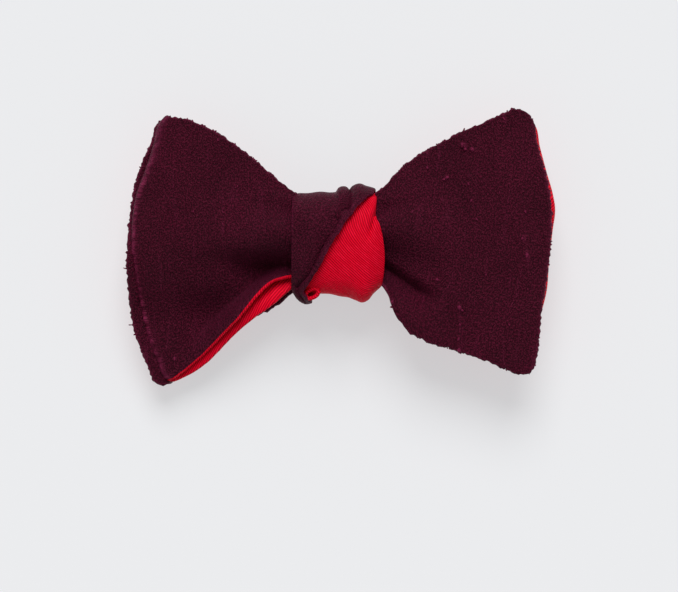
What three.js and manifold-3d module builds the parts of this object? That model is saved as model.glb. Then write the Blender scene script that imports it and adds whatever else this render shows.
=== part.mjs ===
// A hand-tied bow tie in two-faced silk, lying on its back with its neckband folded behind it.
// Raw silk is the face cloth, twill silk the reverse, and a wool interlining lies between them.
// Millimetres. +X runs to the right wing, +Y to the top of the bow and +Z out of its front.
// z = 0 is the surface that the folded neckband lies on.
import * as THREE from "three";
import Module from "manifold-3d";
import { mergeVertices } from "three/addons/utils/BufferGeometryUtils.js";

const wasm = await Module();
wasm.setup();

// Cloth: the three plies of every tie blade, from the strip's own middle surface outwards.
const silkPly = 0.45;
const woolPly = 0.5;
const plyGap = 0.1;
const stripHalf = woolPly / 2 + plyGap + silkPly;
const plies = {
  outer: [woolPly / 2 + plyGap, stripHalf],
  interlining: [-woolPly / 2, woolPly / 2],
  inner: [-stripHalf, -woolPly / 2 - plyGap],
};

// Bow: where the wings start beside the knot, and the corners of the two flat tips.
const cornerRound = 3.2;

// Knot: a folded strip wound round the waist of the bow, given by its middle surface.
const knot = { y: 1.3, z: 16.2, halfHeight: 13.9, halfDepth: 6.6, left: -12.7, right: 12.3 };
const overLift = 1.85;
const overEdge = { topX: 10.2, topY: 15.5, slope: 0.72, bottomX: -10.3 };
const waistGap = 0.4;

// Neckband: a folded strip of silk, laid in runs behind the knot. Heights are those of each run's middle.
const bandWidth = 16;
const bandThick = 1;
const bandY = 0.5;
const bandStart = 3;
const runs = { first: 7.4, second: 6.05, third: 4.7, rightReturn: 3.3, lowest: bandThick / 2 };
const folds = { left: -44, rightInner: 33, rightOuter: 36, rightBack: 5, thirdEnd: -10 };

// Adjuster: a narrow tape, the slide that it is threaded through, the hook on its bight, and the eye.
const tapeWidth = 14;
const tapeThick = 0.6;
const tapeSewnAt = 1;
const tapeSewnZ = 3.8;
const tapeJoinX = -16.4;
const tapeFloor = tapeThick / 2;
const tapeRun = 1.05;
const slide = { x: -24, z: 2, thick: 0.9, barAt: 3.6, bar: 1.2, middleBar: 1.6, width: 18, rail: 1.5 };
const hook = { x: -45, z: 1.55, barRadius: 0.8, width: 17, arm: 1.2, thick: 0.8, plateAt: 4.6, plate: 2.8 };
const tongue = { width: 6, reach: 11.2, bend: 1.3, back: 7.4 };
const eye = { x: 46, z: 1.85, barRadius: 0.7, width: 19, length: 11.4, wire: 1.4 };
const slack = 0.15;

const raceRed = new THREE.MeshStandardMaterial({ color: 0xc00a20, roughness: 0.5, metalness: 0 });
const plum = new THREE.MeshStandardMaterial({ color: 0x380f1b, roughness: 0.8, metalness: 0 });
const wool = new THREE.MeshStandardMaterial({ color: 0xd8d2c4, roughness: 0.95, metalness: 0 });
const tapeSatin = new THREE.MeshStandardMaterial({ color: 0x2a0d16, roughness: 0.6, metalness: 0 });
const nickel = new THREE.MeshStandardMaterial({ color: 0xb9b6b0, roughness: 0.3, metalness: 1 });

const bow = new THREE.Group();

function add(name, geometry, material) {
  const mesh = new THREE.Mesh(geometry, material);
  mesh.name = name;
  bow.add(mesh);
  return mesh;
}

// ---- helpers: sheets, ribbons and booleans ----

function signedVolume(points, index) {
  let total = 0;
  for (let i = 0; i < index.length; i += 3) {
    const [a, b, c] = [points[index[i]], points[index[i + 1]], points[index[i + 2]]];
    total += a.dot(b.clone().cross(c)) / 6;
  }
  return total;
}

function closedGeometry(points, index) {
  if (signedVolume(points, index) < 0) index.reverse();
  const geometry = new THREE.BufferGeometry().setFromPoints(points);
  geometry.setIndex(index);
  geometry.computeVertexNormals();
  return geometry;
}

// A slab between two offsets from a surface(u, v), with u and v from 0 to 1.
function sheet(surface, [low, high], along, across) {
  const points = [];
  const index = [];
  const step = 1e-3;
  const corner = (side, i, j) => (side * (along + 1) + i) * (across + 1) + j;
  for (const offset of [low, high]) {
    for (let i = 0; i <= along; i++) {
      for (let j = 0; j <= across; j++) {
        const [u, v] = [i / along, j / across];
        const [u0, u1] = [Math.max(u - step, 0), Math.min(u + step, 1)];
        const [v0, v1] = [Math.max(v - step, 0), Math.min(v + step, 1)];
        const alongU = surface(u1, v).sub(surface(u0, v));
        const alongV = surface(u, v1).sub(surface(u, v0));
        const normal = alongU.cross(alongV).normalize();
        points.push(surface(u, v).addScaledVector(normal, offset));
      }
    }
  }
  const quad = (a, b, c, d) => index.push(a, b, c, a, c, d);
  for (let i = 0; i < along; i++) {
    for (let j = 0; j < across; j++) {
      quad(corner(0, i, j), corner(0, i + 1, j), corner(0, i + 1, j + 1), corner(0, i, j + 1));
      quad(corner(1, i, j), corner(1, i, j + 1), corner(1, i + 1, j + 1), corner(1, i + 1, j));
    }
    quad(corner(0, i, 0), corner(1, i, 0), corner(1, i + 1, 0), corner(0, i + 1, 0));
    quad(corner(0, i, across), corner(0, i + 1, across), corner(1, i + 1, across), corner(1, i, across));
  }
  for (let j = 0; j < across; j++) {
    quad(corner(0, 0, j), corner(0, 0, j + 1), corner(1, 0, j + 1), corner(1, 0, j));
    quad(corner(0, along, j), corner(1, along, j), corner(1, along, j + 1), corner(0, along, j + 1));
  }
  return closedGeometry(points, index);
}

// A side view in X and Z, extruded along Y about y = 0.
function acrossBand(shape, width) {
  const geometry = new THREE.ExtrudeGeometry(shape, { depth: width, bevelEnabled: false, curveSegments: 8 });
  geometry.rotateX(Math.PI / 2);
  return geometry.translate(0, width / 2, 0);
}

// A plan view in X and Y, extruded up from z = 0.
function upward(shape, height) {
  return new THREE.ExtrudeGeometry(shape, { depth: height, bevelEnabled: false, curveSegments: 5 });
}

// The side view of a ribbon that follows a path, between two offsets from it.
function ribbon(path, low, high) {
  const line = path.getPoints(7);
  const kept = line.filter((p, i) => i === 0 || p.distanceTo(line[i - 1]) > 1e-3);
  const moved = (offset) =>
    kept.map((p, i) => {
      const before = kept[Math.max(i - 1, 0)];
      const after = kept[Math.min(i + 1, kept.length - 1)];
      const run = after.clone().sub(before).normalize();
      return new THREE.Vector2(p.x - run.y * offset, p.y + run.x * offset);
    });
  return new THREE.Shape([...moved(low), ...moved(high).reverse()]);
}

function solidOf(geometry) {
  const bare = geometry.clone();
  bare.deleteAttribute("normal");
  bare.deleteAttribute("uv");
  const merged = mergeVertices(bare, 1e-4);
  const mesh = new wasm.Mesh({
    numProp: 3,
    vertProperties: merged.attributes.position.array,
    triVerts: new Uint32Array(merged.index.array),
  });
  return new wasm.Manifold(mesh);
}

function joined(...geometries) {
  const whole = geometries.map(solidOf).reduce((sum, next) => sum.add(next));
  const mesh = whole.getMesh();
  const geometry = new THREE.BufferGeometry();
  geometry.setAttribute("position", new THREE.BufferAttribute(mesh.vertProperties, 3));
  geometry.setIndex(new THREE.BufferAttribute(mesh.triVerts, 1));
  geometry.computeVertexNormals();
  return geometry;
}

// ---- wings ----

const clamp01 = (t) => Math.min(Math.max(t, 0), 1);
const hump = (t) => Math.sin(Math.PI * clamp01(t));
const bell = (x, middle, width) => Math.exp(-(((x - middle) / width) ** 2));
const spline = (points) => new THREE.SplineCurve(points.map(([x, y]) => new THREE.Vector2(x, y)));

// Rounds a corner of the unit square, where a is towards the wing's end and b towards its edge.
function rounded(t, side, length, height) {
  const startA = 1 - cornerRound / length;
  const startB = 1 - cornerRound / height;
  const a = clamp01((t - startA) / (1 - startA));
  const b = clamp01((Math.abs(side) - startB) / (1 - startB));
  const roundA = a * Math.sqrt(1 - (b * b) / 2);
  const roundB = b * Math.sqrt(1 - (a * a) / 2);
  return [
    a > 0 ? startA + roundA * (1 - startA) : t,
    b > 0 ? Math.sign(side) * (startB + roundB * (1 - startB)) : side,
  ];
}

// One leaf of a wing: t runs from the knot to the wing's end, side from the lower edge (-1) to the upper (1).
function leafPoint(leaf, t, side) {
  const [a, b] = leaf.round ? rounded(t, side, 42, 37) : [t, side];
  const upper = leaf.upper.getPoint(clamp01(a));
  const lower = leaf.lower.getPoint(clamp01(a));
  const flat = lower.lerp(upper, (b + 1) / 2);
  flat.x += leaf.bulge * (1 - b * b) * (1 + leaf.bulgeSkew * b) * a * a;
  const out = Math.abs(flat.x) - Math.abs(leaf.upper.getPoint(0).x);
  const base = THREE.MathUtils.lerp(leaf.knotZ, leaf.endZ, a);
  const pillow = leaf.pillow * hump(a) * (1 - leaf.pillowFall * b * b);
  const pleat = leaf.pleat;
  const pleatY = pleat.y + pleat.slope * out;
  const groove = pleat.depth * bell(flat.y, pleatY, pleat.width + pleat.spread * out) * Math.exp(-out / pleat.reach);
  const ridge = pleat.ridge * bell(flat.y, pleat.ridgeY, 6 + 0.3 * out) * Math.exp(-((out / 20) ** 2));
  return new THREE.Vector3(flat.x, flat.y, base + pillow + ridge - groove);
}

const leaves = {
  loopFront: {
    upper: spline([[-13.8, 15], [-19.5, 20.2], [-26, 25.7], [-33.2, 30.7], [-40.4, 34], [-47.2, 35.8]]),
    lower: spline([[-13.8, -8.6], [-19.6, -9.6], [-25.2, -14.6], [-31.7, -21.8], [-38.6, -29.6], [-46, -36]]),
    bulge: -8.4, bulgeSkew: 0, knotZ: 17.2, endZ: 17.2, pillow: 3, pillowFall: 0.3, round: false,
    pleat: { y: -4.2, slope: -0.03, depth: 4.6, width: 2.2, spread: 0.3, reach: 15, ridge: 2.2, ridgeY: 6.5 },
  },
  loopRear: {
    upper: spline([[-13.8, 12.6], [-19.5, 18.6], [-26, 24.2], [-33, 29.4], [-40.2, 33], [-47.2, 35.8]]),
    lower: spline([[-13.8, -12.2], [-19.5, -17], [-26, -23], [-32.8, -29.4], [-39.4, -34.2], [-46, -36]]),
    bulge: -8.4, bulgeSkew: 0, knotZ: 13.1, endZ: 14, pillow: -0.5, pillowFall: 0.5, round: false,
    pleat: { y: -4.2, slope: 0, depth: 0.6, width: 4, spread: 0.3, reach: 15, ridge: 0, ridgeY: 0 },
  },
  rearTip: {
    upper: spline([[-13.8, 11.6], [-20, 17.6], [-27, 23.6], [-34.5, 29], [-42.2, 32.8], [-50.4, 36.4]]),
    lower: spline([[-13.8, -13.4], [-20, -18.2], [-26.8, -24], [-34, -29.6], [-42, -34.8], [-50.9, -39.6]]),
    bulge: -9.25, bulgeSkew: -0.08, knotZ: 10.7, endZ: 11.5, pillow: -0.3, pillowFall: 0.5, round: true,
    pleat: { y: 0, slope: 0, depth: 0, width: 4, spread: 0, reach: 10, ridge: 0, ridgeY: 0 },
  },
  frontTip: {
    upper: spline([[13.4, 17], [19.6, 23.9], [27.6, 28.8], [36, 33], [44.6, 36.8], [53.3, 39.4]]),
    lower: spline([[13.4, -11.8], [17.4, -21], [25.5, -26.9], [35, -30.1], [44.5, -33.3], [53.8, -36.8]]),
    bulge: 6, bulgeSkew: 0.22, knotZ: 17.4, endZ: 18.2, pillow: 2.4, pillowFall: 0.4, round: true,
    pleat: { y: -3.2, slope: -0.85, depth: 4, width: 2.2, spread: 0.3, reach: 9, ridge: 2, ridgeY: 6 },
  },
  rearFront: {
    upper: spline([[13.4, 14.6], [20, 21.6], [28, 26.8], [36, 31], [44, 34.6], [51.4, 35.6]]),
    lower: spline([[13.4, -11.4], [18, -18.6], [26, -24.6], [35, -28], [43.4, -31], [51.4, -33.6]]),
    bulge: 6, bulgeSkew: 0.3, knotZ: 13.4, endZ: 15.2, pillow: 0.6, pillowFall: 0.4, round: false,
    pleat: { y: -4, slope: -0.5, depth: 0.4, width: 4, spread: 0.3, reach: 9, ridge: 0, ridgeY: 0 },
  },
  rearBack: {
    upper: spline([[13.4, 13], [20, 19.6], [28, 25], [36, 29.6], [44, 33.6], [51.4, 35.6]]),
    lower: spline([[13.4, -12.4], [18.4, -18.6], [26, -24], [35, -27.6], [43.4, -30.8], [51.4, -33.6]]),
    bulge: 6, bulgeSkew: 0.3, knotZ: 10.8, endZ: 12, pillow: -0.4, pillowFall: 0.5, round: false,
    pleat: { y: 0, slope: 0, depth: 0, width: 4, spread: 0, reach: 10, ridge: 0, ridgeY: 0 },
  },
};

const loopFold = { from: 0.45, to: 0.55 };

// A blade folded back on itself: out along the front leaf, round the fold, and back along the rear leaf.
function loopSurface(front, rear) {
  return (u, v) => {
    const side = 2 * v - 1;
    if (u <= loopFold.from) return leafPoint(front, u / loopFold.from, side);
    if (u >= loopFold.to) return leafPoint(rear, (1 - u) / (1 - loopFold.to), side);
    const turn = ((u - loopFold.from) / (loopFold.to - loopFold.from)) * Math.PI;
    const start = leafPoint(front, 1, side);
    const end = leafPoint(rear, 1, side);
    const centre = start.clone().lerp(end, 0.5);
    const radius = (start.z - end.z) / 2;
    centre.x += Math.sign(centre.x) * radius * Math.sin(turn);
    centre.z += radius * Math.cos(turn);
    return centre;
  };
}

const tipSurface = (leaf) => (u, v) => leafPoint(leaf, u, 2 * v - 1);

// outward is 1 where the surface's own normal points to the blade's outer cloth, and -1 where it points away.
function blade(name, surface, outward, outerMaterial, innerMaterial, outerName, innerName, along) {
  const ordered = ([low, high]) => (outward > 0 ? [low, high] : [-high, -low]);
  const across = 9;
  add(`${name}_${outerName}`, sheet(surface, ordered(plies.outer), along, across), outerMaterial);
  add(`${name}_interlining`, sheet(surface, ordered(plies.interlining), along, across), wool);
  add(`${name}_${innerName}`, sheet(surface, ordered(plies.inner), along, across), innerMaterial);
}

function wings() {
  blade("front_loop", loopSurface(leaves.loopFront, leaves.loopRear), -1, plum, raceRed, "face", "lining", 20);
  blade("front_tip", tipSurface(leaves.frontTip), 1, plum, raceRed, "face", "lining", 10);
  blade("rear_tip", tipSurface(leaves.rearTip), -1, plum, raceRed, "face", "lining", 9);
  blade("rear_loop", loopSurface(leaves.rearFront, leaves.rearBack), 1, raceRed, plum, "lining", "face", 20);
}

// ---- knot ----

// turn is the angle round the bow's waist: 0 at the top edge, a quarter turn at the front, and so on.
function knotPoint(turn, x, grow) {
  const power = (value) => Math.sign(value) * Math.abs(value) ** 0.8;
  const barrel = (x / knot.left) ** 2;
  const y = (knot.halfHeight + grow) * (1 - 0.03 * barrel) * power(Math.cos(turn));
  const z = (knot.halfDepth + grow) * (1 - 0.12 * barrel) * power(Math.sin(turn));
  return new THREE.Vector3(x, knot.y + y, knot.z + z);
}

const degrees = THREE.MathUtils.degToRad;

function underWrap(u, v) {
  const turn = THREE.MathUtils.lerp(degrees(-75), degrees(255), u);
  return knotPoint(turn, THREE.MathUtils.lerp(knot.left, knot.right, v), 0);
}

// The strip's other half, folded over the first with a slanting edge across the front.
function overWrap(u, v) {
  const turn = THREE.MathUtils.lerp(degrees(-35), degrees(200), u);
  const y = knotPoint(turn, 0, overLift).y;
  const slanting = overEdge.topX + (y - overEdge.topY) * overEdge.slope;
  const edge = turn < 0 ? overEdge.topX : THREE.MathUtils.clamp(slanting, overEdge.bottomX, overEdge.topX);
  return knotPoint(turn, THREE.MathUtils.lerp(knot.left - 0.2, edge, v), overLift);
}

// Half of the bunched waist inside the knot: the front half belongs to one blade and the rear half to the other.
function waist(name, from, material) {
  const inset = stripHalf + waistGap;
  const outline = new THREE.Shape();
  const half = waistGap / 2;
  const sign = Math.sign(from);
  const across = knot.halfHeight - inset;
  const deep = knot.halfDepth * 0.86 - inset;
  outline.moveTo(across, sign * half);
  for (let step = 1; step < 12; step++) {
    const turn = (step / 12) * Math.PI;
    outline.lineTo(across * Math.cos(turn), sign * (half + (deep - half) * Math.sin(turn)));
  }
  outline.lineTo(-across, sign * half);
  const geometry = upward(outline, knot.right - knot.left);
  geometry.rotateX(Math.PI / 2).rotateZ(Math.PI / 2);
  const mesh = add(name, geometry, material);
  mesh.position.set(knot.left, knot.y, knot.z);
}

function knotPieces() {
  add("knot_under_twill", sheet(underWrap, plies.outer, 26, 4), raceRed);
  add("knot_under_interlining", sheet(underWrap, plies.interlining, 26, 4), wool);
  add("knot_under_silk", sheet(underWrap, plies.inner, 26, 4), plum);
  add("knot_over_silk", sheet(overWrap, plies.outer, 26, 4), plum);
  add("knot_over_interlining", sheet(overWrap, plies.interlining, 26, 4), wool);
  add("knot_over_twill", sheet(overWrap, plies.inner, 26, 4), raceRed);
  waist("front_waist", 1, plum);
  waist("rear_waist", -1, plum);
}

// ---- neckband ----

// Half a turn of a path, from its present height to another at the same x.
function foldTo(path, x, fromZ, toZ, side) {
  const radius = Math.abs(fromZ - toZ) / 2;
  const start = Math.sign(fromZ - toZ) * (Math.PI / 2);
  path.lineTo(x, fromZ);
  path.absarc(x, (fromZ + toZ) / 2, radius, start, -start, side * Math.sign(fromZ - toZ) > 0);
}

function addBand(name, path, thick, width, material) {
  const geometry = acrossBand(ribbon(path, -thick / 2, thick / 2), width);
  add(name, geometry, material).position.y = bandY;
}

function neckbands() {
  const left = new THREE.Path();
  left.moveTo(-bandStart, runs.first);
  foldTo(left, folds.left, runs.first, runs.second, -1);
  foldTo(left, folds.rightInner, runs.second, runs.third, 1);
  left.lineTo(folds.thirdEnd, runs.third);
  addBand("neckband_left", left, bandThick, bandWidth, plum);

  const right = new THREE.Path();
  const aroundBar = 2 * (eye.barRadius + slack) + bandThick;
  right.moveTo(bandStart, runs.first);
  foldTo(right, folds.rightOuter, runs.first, runs.rightReturn, 1);
  foldTo(right, folds.rightBack, runs.rightReturn, runs.lowest, -1);
  foldTo(right, eye.x, runs.lowest, runs.lowest + aroundBar, 1);
  right.lineTo(eye.x - 4.5, runs.lowest + bandThick + slack);
  addBand("neckband_right", right, bandThick, bandWidth, plum);
}

// ---- adjuster ----

function adjusterTapes() {
  const sewn = new THREE.Path();
  sewn.moveTo(tapeSewnAt, tapeSewnZ);
  sewn.lineTo(folds.thirdEnd - 1, tapeSewnZ);
  sewn.lineTo(tapeJoinX, tapeRun + 0.2);
  addBand("adjuster_tape", sewn, tapeThick, tapeWidth, tapeSatin);

  const middleTop = slide.z + slide.thick / 2 + slack + tapeThick / 2;
  const wrapHalf = slide.middleBar / 2 + slack + tapeThick / 2;
  const humpHalf = wrapHalf + tapeThick + slack;
  const humpTop = middleTop + tapeThick + slack;
  const hookTop = hook.z + hook.barRadius + slack + tapeThick / 2;
  const loop = new THREE.Path();
  loop.moveTo(tapeJoinX - 0.3, tapeRun);
  loop.lineTo(slide.x + slide.barAt - 0.7, tapeRun);
  loop.splineThru([
    new THREE.Vector2(slide.x + humpHalf + 0.1, 2),
    new THREE.Vector2(slide.x + humpHalf - 0.3, humpTop - 0.4),
    new THREE.Vector2(slide.x, humpTop),
    new THREE.Vector2(slide.x - humpHalf + 0.3, humpTop - 0.4),
    new THREE.Vector2(slide.x - humpHalf - 0.1, 2),
    new THREE.Vector2(slide.x - slide.barAt + 0.7, tapeRun),
  ]);
  loop.lineTo(slide.x - slide.barAt - 2, tapeRun);
  loop.lineTo(hook.x + 4, hookTop);
  foldTo(loop, hook.x, hookTop, tapeFloor, -1);
  const bend = 0.6;
  const [leftX, rightX] = [slide.x - wrapHalf + bend, slide.x + wrapHalf - bend];
  loop.lineTo(rightX, tapeFloor);
  loop.absarc(rightX, tapeFloor + bend, bend, -Math.PI / 2, 0);
  loop.absarc(rightX, middleTop - bend, bend, 0, Math.PI / 2);
  loop.absarc(leftX, middleTop - bend, bend, Math.PI / 2, Math.PI);
  loop.lineTo(leftX - bend, tapeFloor + tapeThick + slack);
  addBand("adjuster_tape_bight", loop, tapeThick, tapeWidth, tapeSatin);
}

// A frame with three bars. The tape's end is sewn round the middle bar.
function slideFrame() {
  const reach = 2 * slide.barAt + slide.bar;
  const rail = new THREE.BoxGeometry(reach, slide.rail, slide.thick);
  const railY = (slide.width - slide.rail) / 2;
  const pieces = [rail.clone().translate(0, railY, 0), rail.clone().translate(0, -railY, 0)];
  for (const [x, width] of [[-slide.barAt, slide.bar], [0, slide.middleBar], [slide.barAt, slide.bar]]) {
    pieces.push(new THREE.BoxGeometry(width, slide.width - slide.rail, slide.thick).translate(x, 0, 0));
  }
  add("slide", joined(...pieces), nickel).position.set(slide.x, bandY, slide.z);
}

// The hook and the eye are built about their own bars, which the tape and the band turn round.
function hookPlate() {
  const bar = new THREE.CylinderGeometry(hook.barRadius, hook.barRadius, hook.width, 16);
  const arm = new THREE.BoxGeometry(hook.plateAt + 0.4, hook.arm, hook.thick).translate(-hook.plateAt / 2, 0, 0);
  const armY = (hook.width - hook.arm) / 2;
  const plate = new THREE.BoxGeometry(hook.plate, hook.width, hook.thick);
  const bent = new THREE.Path();
  bent.moveTo(-hook.plateAt - 1, 0);
  foldTo(bent, -tongue.reach, 0, 2 * tongue.bend, -1);
  bent.lineTo(-tongue.back, 2 * tongue.bend);
  const geometry = joined(
    bar,
    arm.clone().translate(0, armY, 0),
    arm.clone().translate(0, -armY, 0),
    plate.translate(-hook.plateAt - hook.plate / 2, 0, 0),
    acrossBand(ribbon(bent, -hook.thick / 2, hook.thick / 2), tongue.width),
  );
  add("hook", geometry, nickel).position.set(hook.x, bandY, hook.z);
}

function eyeLoop() {
  const half = (eye.width - eye.wire) / 2;
  const corner = 2.2;
  const corners = [
    [0, -half],
    [eye.length - corner, -half],
    [eye.length, -half + corner],
    [eye.length, half - corner],
    [eye.length - corner, half],
    [0, half],
  ];
  const path = new THREE.CurvePath();
  for (let i = 1; i < corners.length; i++) {
    const [from, to] = [corners[i - 1], corners[i]].map(([x, y]) => new THREE.Vector3(x, y, 0));
    path.add(new THREE.LineCurve3(from, to));
  }
  const section = new THREE.Shape().absarc(0, 0, eye.wire / 2, 0, 2 * Math.PI);
  const wire = new THREE.ExtrudeGeometry(section, { steps: 40, extrudePath: path, curveSegments: 8 });
  const bar = new THREE.CylinderGeometry(eye.barRadius, eye.barRadius, eye.width, 16);
  add("eye", joined(bar, wire), nickel).position.set(eye.x, bandY, eye.z);
}

wings();
knotPieces();
neckbands();
adjusterTapes();
slideFrame();
hookPlate();
eyeLoop();

export default bow;
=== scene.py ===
# A hand-tied bow tie in two-faced silk, plum raw silk on one side and red twill on the other.
# Shapes are worked out in millimetres in the frame's own axes and turned to metres as each mesh is made.
import math

import bmesh
import bpy
import numpy as np
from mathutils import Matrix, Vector


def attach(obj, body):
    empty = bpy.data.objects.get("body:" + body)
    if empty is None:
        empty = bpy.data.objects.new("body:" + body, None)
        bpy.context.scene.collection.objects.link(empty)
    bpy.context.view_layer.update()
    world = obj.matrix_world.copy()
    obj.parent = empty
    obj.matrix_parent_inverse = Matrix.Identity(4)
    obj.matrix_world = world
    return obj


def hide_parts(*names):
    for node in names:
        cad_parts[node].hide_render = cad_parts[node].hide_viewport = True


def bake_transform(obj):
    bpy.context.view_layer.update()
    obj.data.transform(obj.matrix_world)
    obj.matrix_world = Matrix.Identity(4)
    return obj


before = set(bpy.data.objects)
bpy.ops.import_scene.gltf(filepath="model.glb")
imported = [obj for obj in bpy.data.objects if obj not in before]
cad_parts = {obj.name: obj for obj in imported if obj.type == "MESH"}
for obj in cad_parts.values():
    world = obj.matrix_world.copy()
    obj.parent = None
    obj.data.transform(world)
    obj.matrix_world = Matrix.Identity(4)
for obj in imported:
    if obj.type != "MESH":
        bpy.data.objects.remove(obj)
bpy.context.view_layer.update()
metre = 0.001
rootBody = "knot_and_neckband"

cloth = {
    "halfThick": 0.65,  # half of a blade's whole thickness
    "ply": 0.4,  # the face or the lining alone
    "core": 0.2,  # half the interlining's thickness
    "lip": 0.35,  # how far the face turns under the rim before the seam
    "seamDip": 0.14,
    "rimNoise": 0.26,
    "rimReach": 2.4,  # how far in from an edge the rows are close together
    "endReach": 2.6,
    "offEdge": 9.0,  # stands for a distance from an edge that isn't there
}


def curveThrough(points, t):
    # A smooth curve through a few points, with t from 0 to 1 by chord length.
    p = np.array(points, float)
    s = np.concatenate([[0], np.cumsum(np.linalg.norm(np.diff(p, axis=0), axis=1))])
    s /= s[-1]
    slope = np.gradient(p, s, axis=0)
    t = np.clip(t, 0, 1)
    k = np.clip(np.searchsorted(s, t, side="right") - 1, 0, len(s) - 2)
    h = (s[k + 1] - s[k])[..., None]
    f = ((t - s[k]) / h[..., 0])[..., None]
    near = (2 * f**3 - 3 * f**2 + 1) * p[k] + (f**3 - 2 * f**2 + f) * h * slope[k]
    far = (3 * f**2 - 2 * f**3) * p[k + 1] + (f**3 - f**2) * h * slope[k + 1]
    return near + far


def profile(points, x):
    # y at each x on a smooth curve through (x, y) points.
    p = np.array(points, float)
    t = np.linspace(0, 1, 400)
    line = curveThrough(p, t)
    return np.interp(x, line[:, 0], line[:, 1])


def smoothStep(low, high, x):
    t = np.clip((x - low) / (high - low), 0, 1)
    return t * t * (3 - 2 * t)


def lattice(i, j, seed):
    # A repeatable value from -1 to 1 for each whole-number pair.
    n = np.sin(i * 127.1 + j * 311.7 + seed * 74.7) * 43758.5453
    return 2 * (n - np.floor(n)) - 1


def noise(x, y, seed=0):
    i, j = np.floor(x), np.floor(y)
    fx, fy = x - i, y - j
    fx, fy = fx * fx * (3 - 2 * fx), fy * fy * (3 - 2 * fy)
    low = lattice(i, j, seed) * (1 - fx) + lattice(i + 1, j, seed) * fx
    high = lattice(i, j + 1, seed) * (1 - fx) + lattice(i + 1, j + 1, seed) * fx
    return low * (1 - fy) + high * fy


def fold(x, y, start, end, widths, height, fade=(0.15, 0.4), lean=0):
    # A ridge, or a groove where height is negative, along a line. Its width goes from widths[0] to widths[1].
    # lean makes the side to the left of its direction steeper, or the right side where it is negative.
    (x0, y0), (x1, y1) = start, end
    run = math.hypot(x1 - x0, y1 - y0)
    ux, uy = (x1 - x0) / run, (y1 - y0) / run
    t = ((x - x0) * ux + (y - y0) * uy) / run
    off = (y - y0) * ux - (x - x0) * uy
    width = widths[0] + (widths[1] - widths[0]) * np.clip(t, 0, 1)
    width = width * np.where(off > 0, 1 - lean, 1 + lean)
    along = smoothStep(-fade[0], fade[0] * 0.3, t) * (1 - smoothStep(1 - fade[1], 1 + fade[1] * 0.5, t))
    return height * np.exp(-((off / width) ** 2)) * along


def meshPiece(name, points, quads, uv):
    mesh = bpy.data.meshes.new(name)
    mesh.vertices.add(len(points))
    mesh.vertices.foreach_set("co", (np.asarray(points, float) * metre).ravel())
    quads = np.asarray(quads)
    mesh.loops.add(quads.size)
    mesh.loops.foreach_set("vertex_index", quads.ravel().astype(np.int32))
    mesh.polygons.add(len(quads))
    mesh.polygons.foreach_set("loop_start", (np.arange(len(quads)) * 4).astype(np.int32))
    mesh.polygons.foreach_set("use_smooth", np.full(len(quads), True))
    layer = mesh.uv_layers.new(name="weave")
    layer.data.foreach_set("uv", np.asarray(uv, float)[quads.ravel()].ravel())
    mesh.update(calc_edges=True)
    mesh.validate()
    piece = bpy.data.objects.new(name, mesh)
    bpy.context.collection.objects.link(piece)
    return piece


# Stores how far each point is lightened towards the pale slub colour: partly real wear and paler thread, partly a
# painted highlight on rims, folds and raised threads.
def markWearAndHighlight(piece, values):
    layer = piece.data.attributes.new("wearAndHighlight", "FLOAT", "POINT")
    layer.data.foreach_set("value", np.asarray(values, np.float32))


def faceOutward(piece, openRings=()):
    # Closes the rings, each a list of vertex numbers, and turns every face outwards.
    work = bmesh.new()
    work.from_mesh(piece.data)
    work.verts.ensure_lookup_table()
    for ring in openRings:
        work.faces.new([work.verts[n] for n in ring])
    bmesh.ops.recalc_face_normals(work, faces=work.faces)
    work.to_mesh(piece.data)
    work.free()


def gridQuads(rows, columns, start=0, flip=False):
    i, j = np.meshgrid(np.arange(rows - 1), np.arange(columns - 1), indexing="ij")
    a = start + i * columns + j
    quads = np.stack([a, a + columns, a + columns + 1, a + 1], -1).reshape(-1, 4)
    return quads[:, ::-1] if flip else quads


def wallQuads(ring, offset):
    # Joins the border of the outer grid to the border of the inner grid.
    after = np.roll(ring, -1)
    return np.stack([ring, after, after + offset, ring + offset], -1)


def closedSkin(name, outer, inner, uv):
    rows, columns = outer.shape[:2]
    count = rows * columns
    index = np.arange(count).reshape(rows, columns)
    ring = np.concatenate([index[0, :-1], index[:-1, -1], index[-1, :0:-1], index[:0:-1, 0]])
    quads = np.concatenate([
        gridQuads(rows, columns, flip=True),
        gridQuads(rows, columns, count),
        wallQuads(ring, count),
    ])
    points = np.concatenate([outer.reshape(-1, 3), inner.reshape(-1, 3)])
    piece = meshPiece(name, points, quads, np.concatenate([uv.reshape(-1, 2)] * 2))
    facing = bmesh.new()
    facing.from_mesh(piece.data)
    if facing.calc_volume(signed=True) < 0:
        bmesh.ops.reverse_faces(facing, faces=facing.faces)
        facing.to_mesh(piece.data)
    facing.free()
    return piece


def surfaceNormals(surface, a, b):
    step = 2e-3
    da = surface(np.clip(a + step, 0, 1), b) - surface(np.clip(a - step, 0, 1), b)
    db = surface(a, np.clip(b + step, -1, 1)) - surface(a, np.clip(b - step, -1, 1))
    n = np.cross(da, db)
    return n / np.maximum(np.linalg.norm(n, axis=-1, keepdims=True), 1e-9)


def threadCoordinates(points, turned=None):
    # Distances along the blade and across it, measured over the folds, for the weave.
    # turned tells how far each row is round a loop's fold; the rear leaf is measured from its own inner end.
    step = np.diff(points, axis=0)
    along = np.concatenate([np.zeros((1, points.shape[1])), np.cumsum(np.hypot(step[..., 0], step[..., 2]), 0)])
    if turned is not None:
        fromEnd = along[-1].mean() - (along[-1:] - along)
        along = along * (1 - turned[:, None]) + fromEnd * turned[:, None]
    step = np.diff(points, axis=1)
    sign = np.sign(points[:, -1:, 1] - points[:, :1, 1])
    across = np.concatenate([np.zeros((points.shape[0], 1)), np.cumsum(np.hypot(step[..., 1], step[..., 2]), 1)], 1)
    middle = across.shape[1] // 2
    return np.stack([along, (across - across[:, middle:middle + 1]) * sign], -1)


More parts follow.
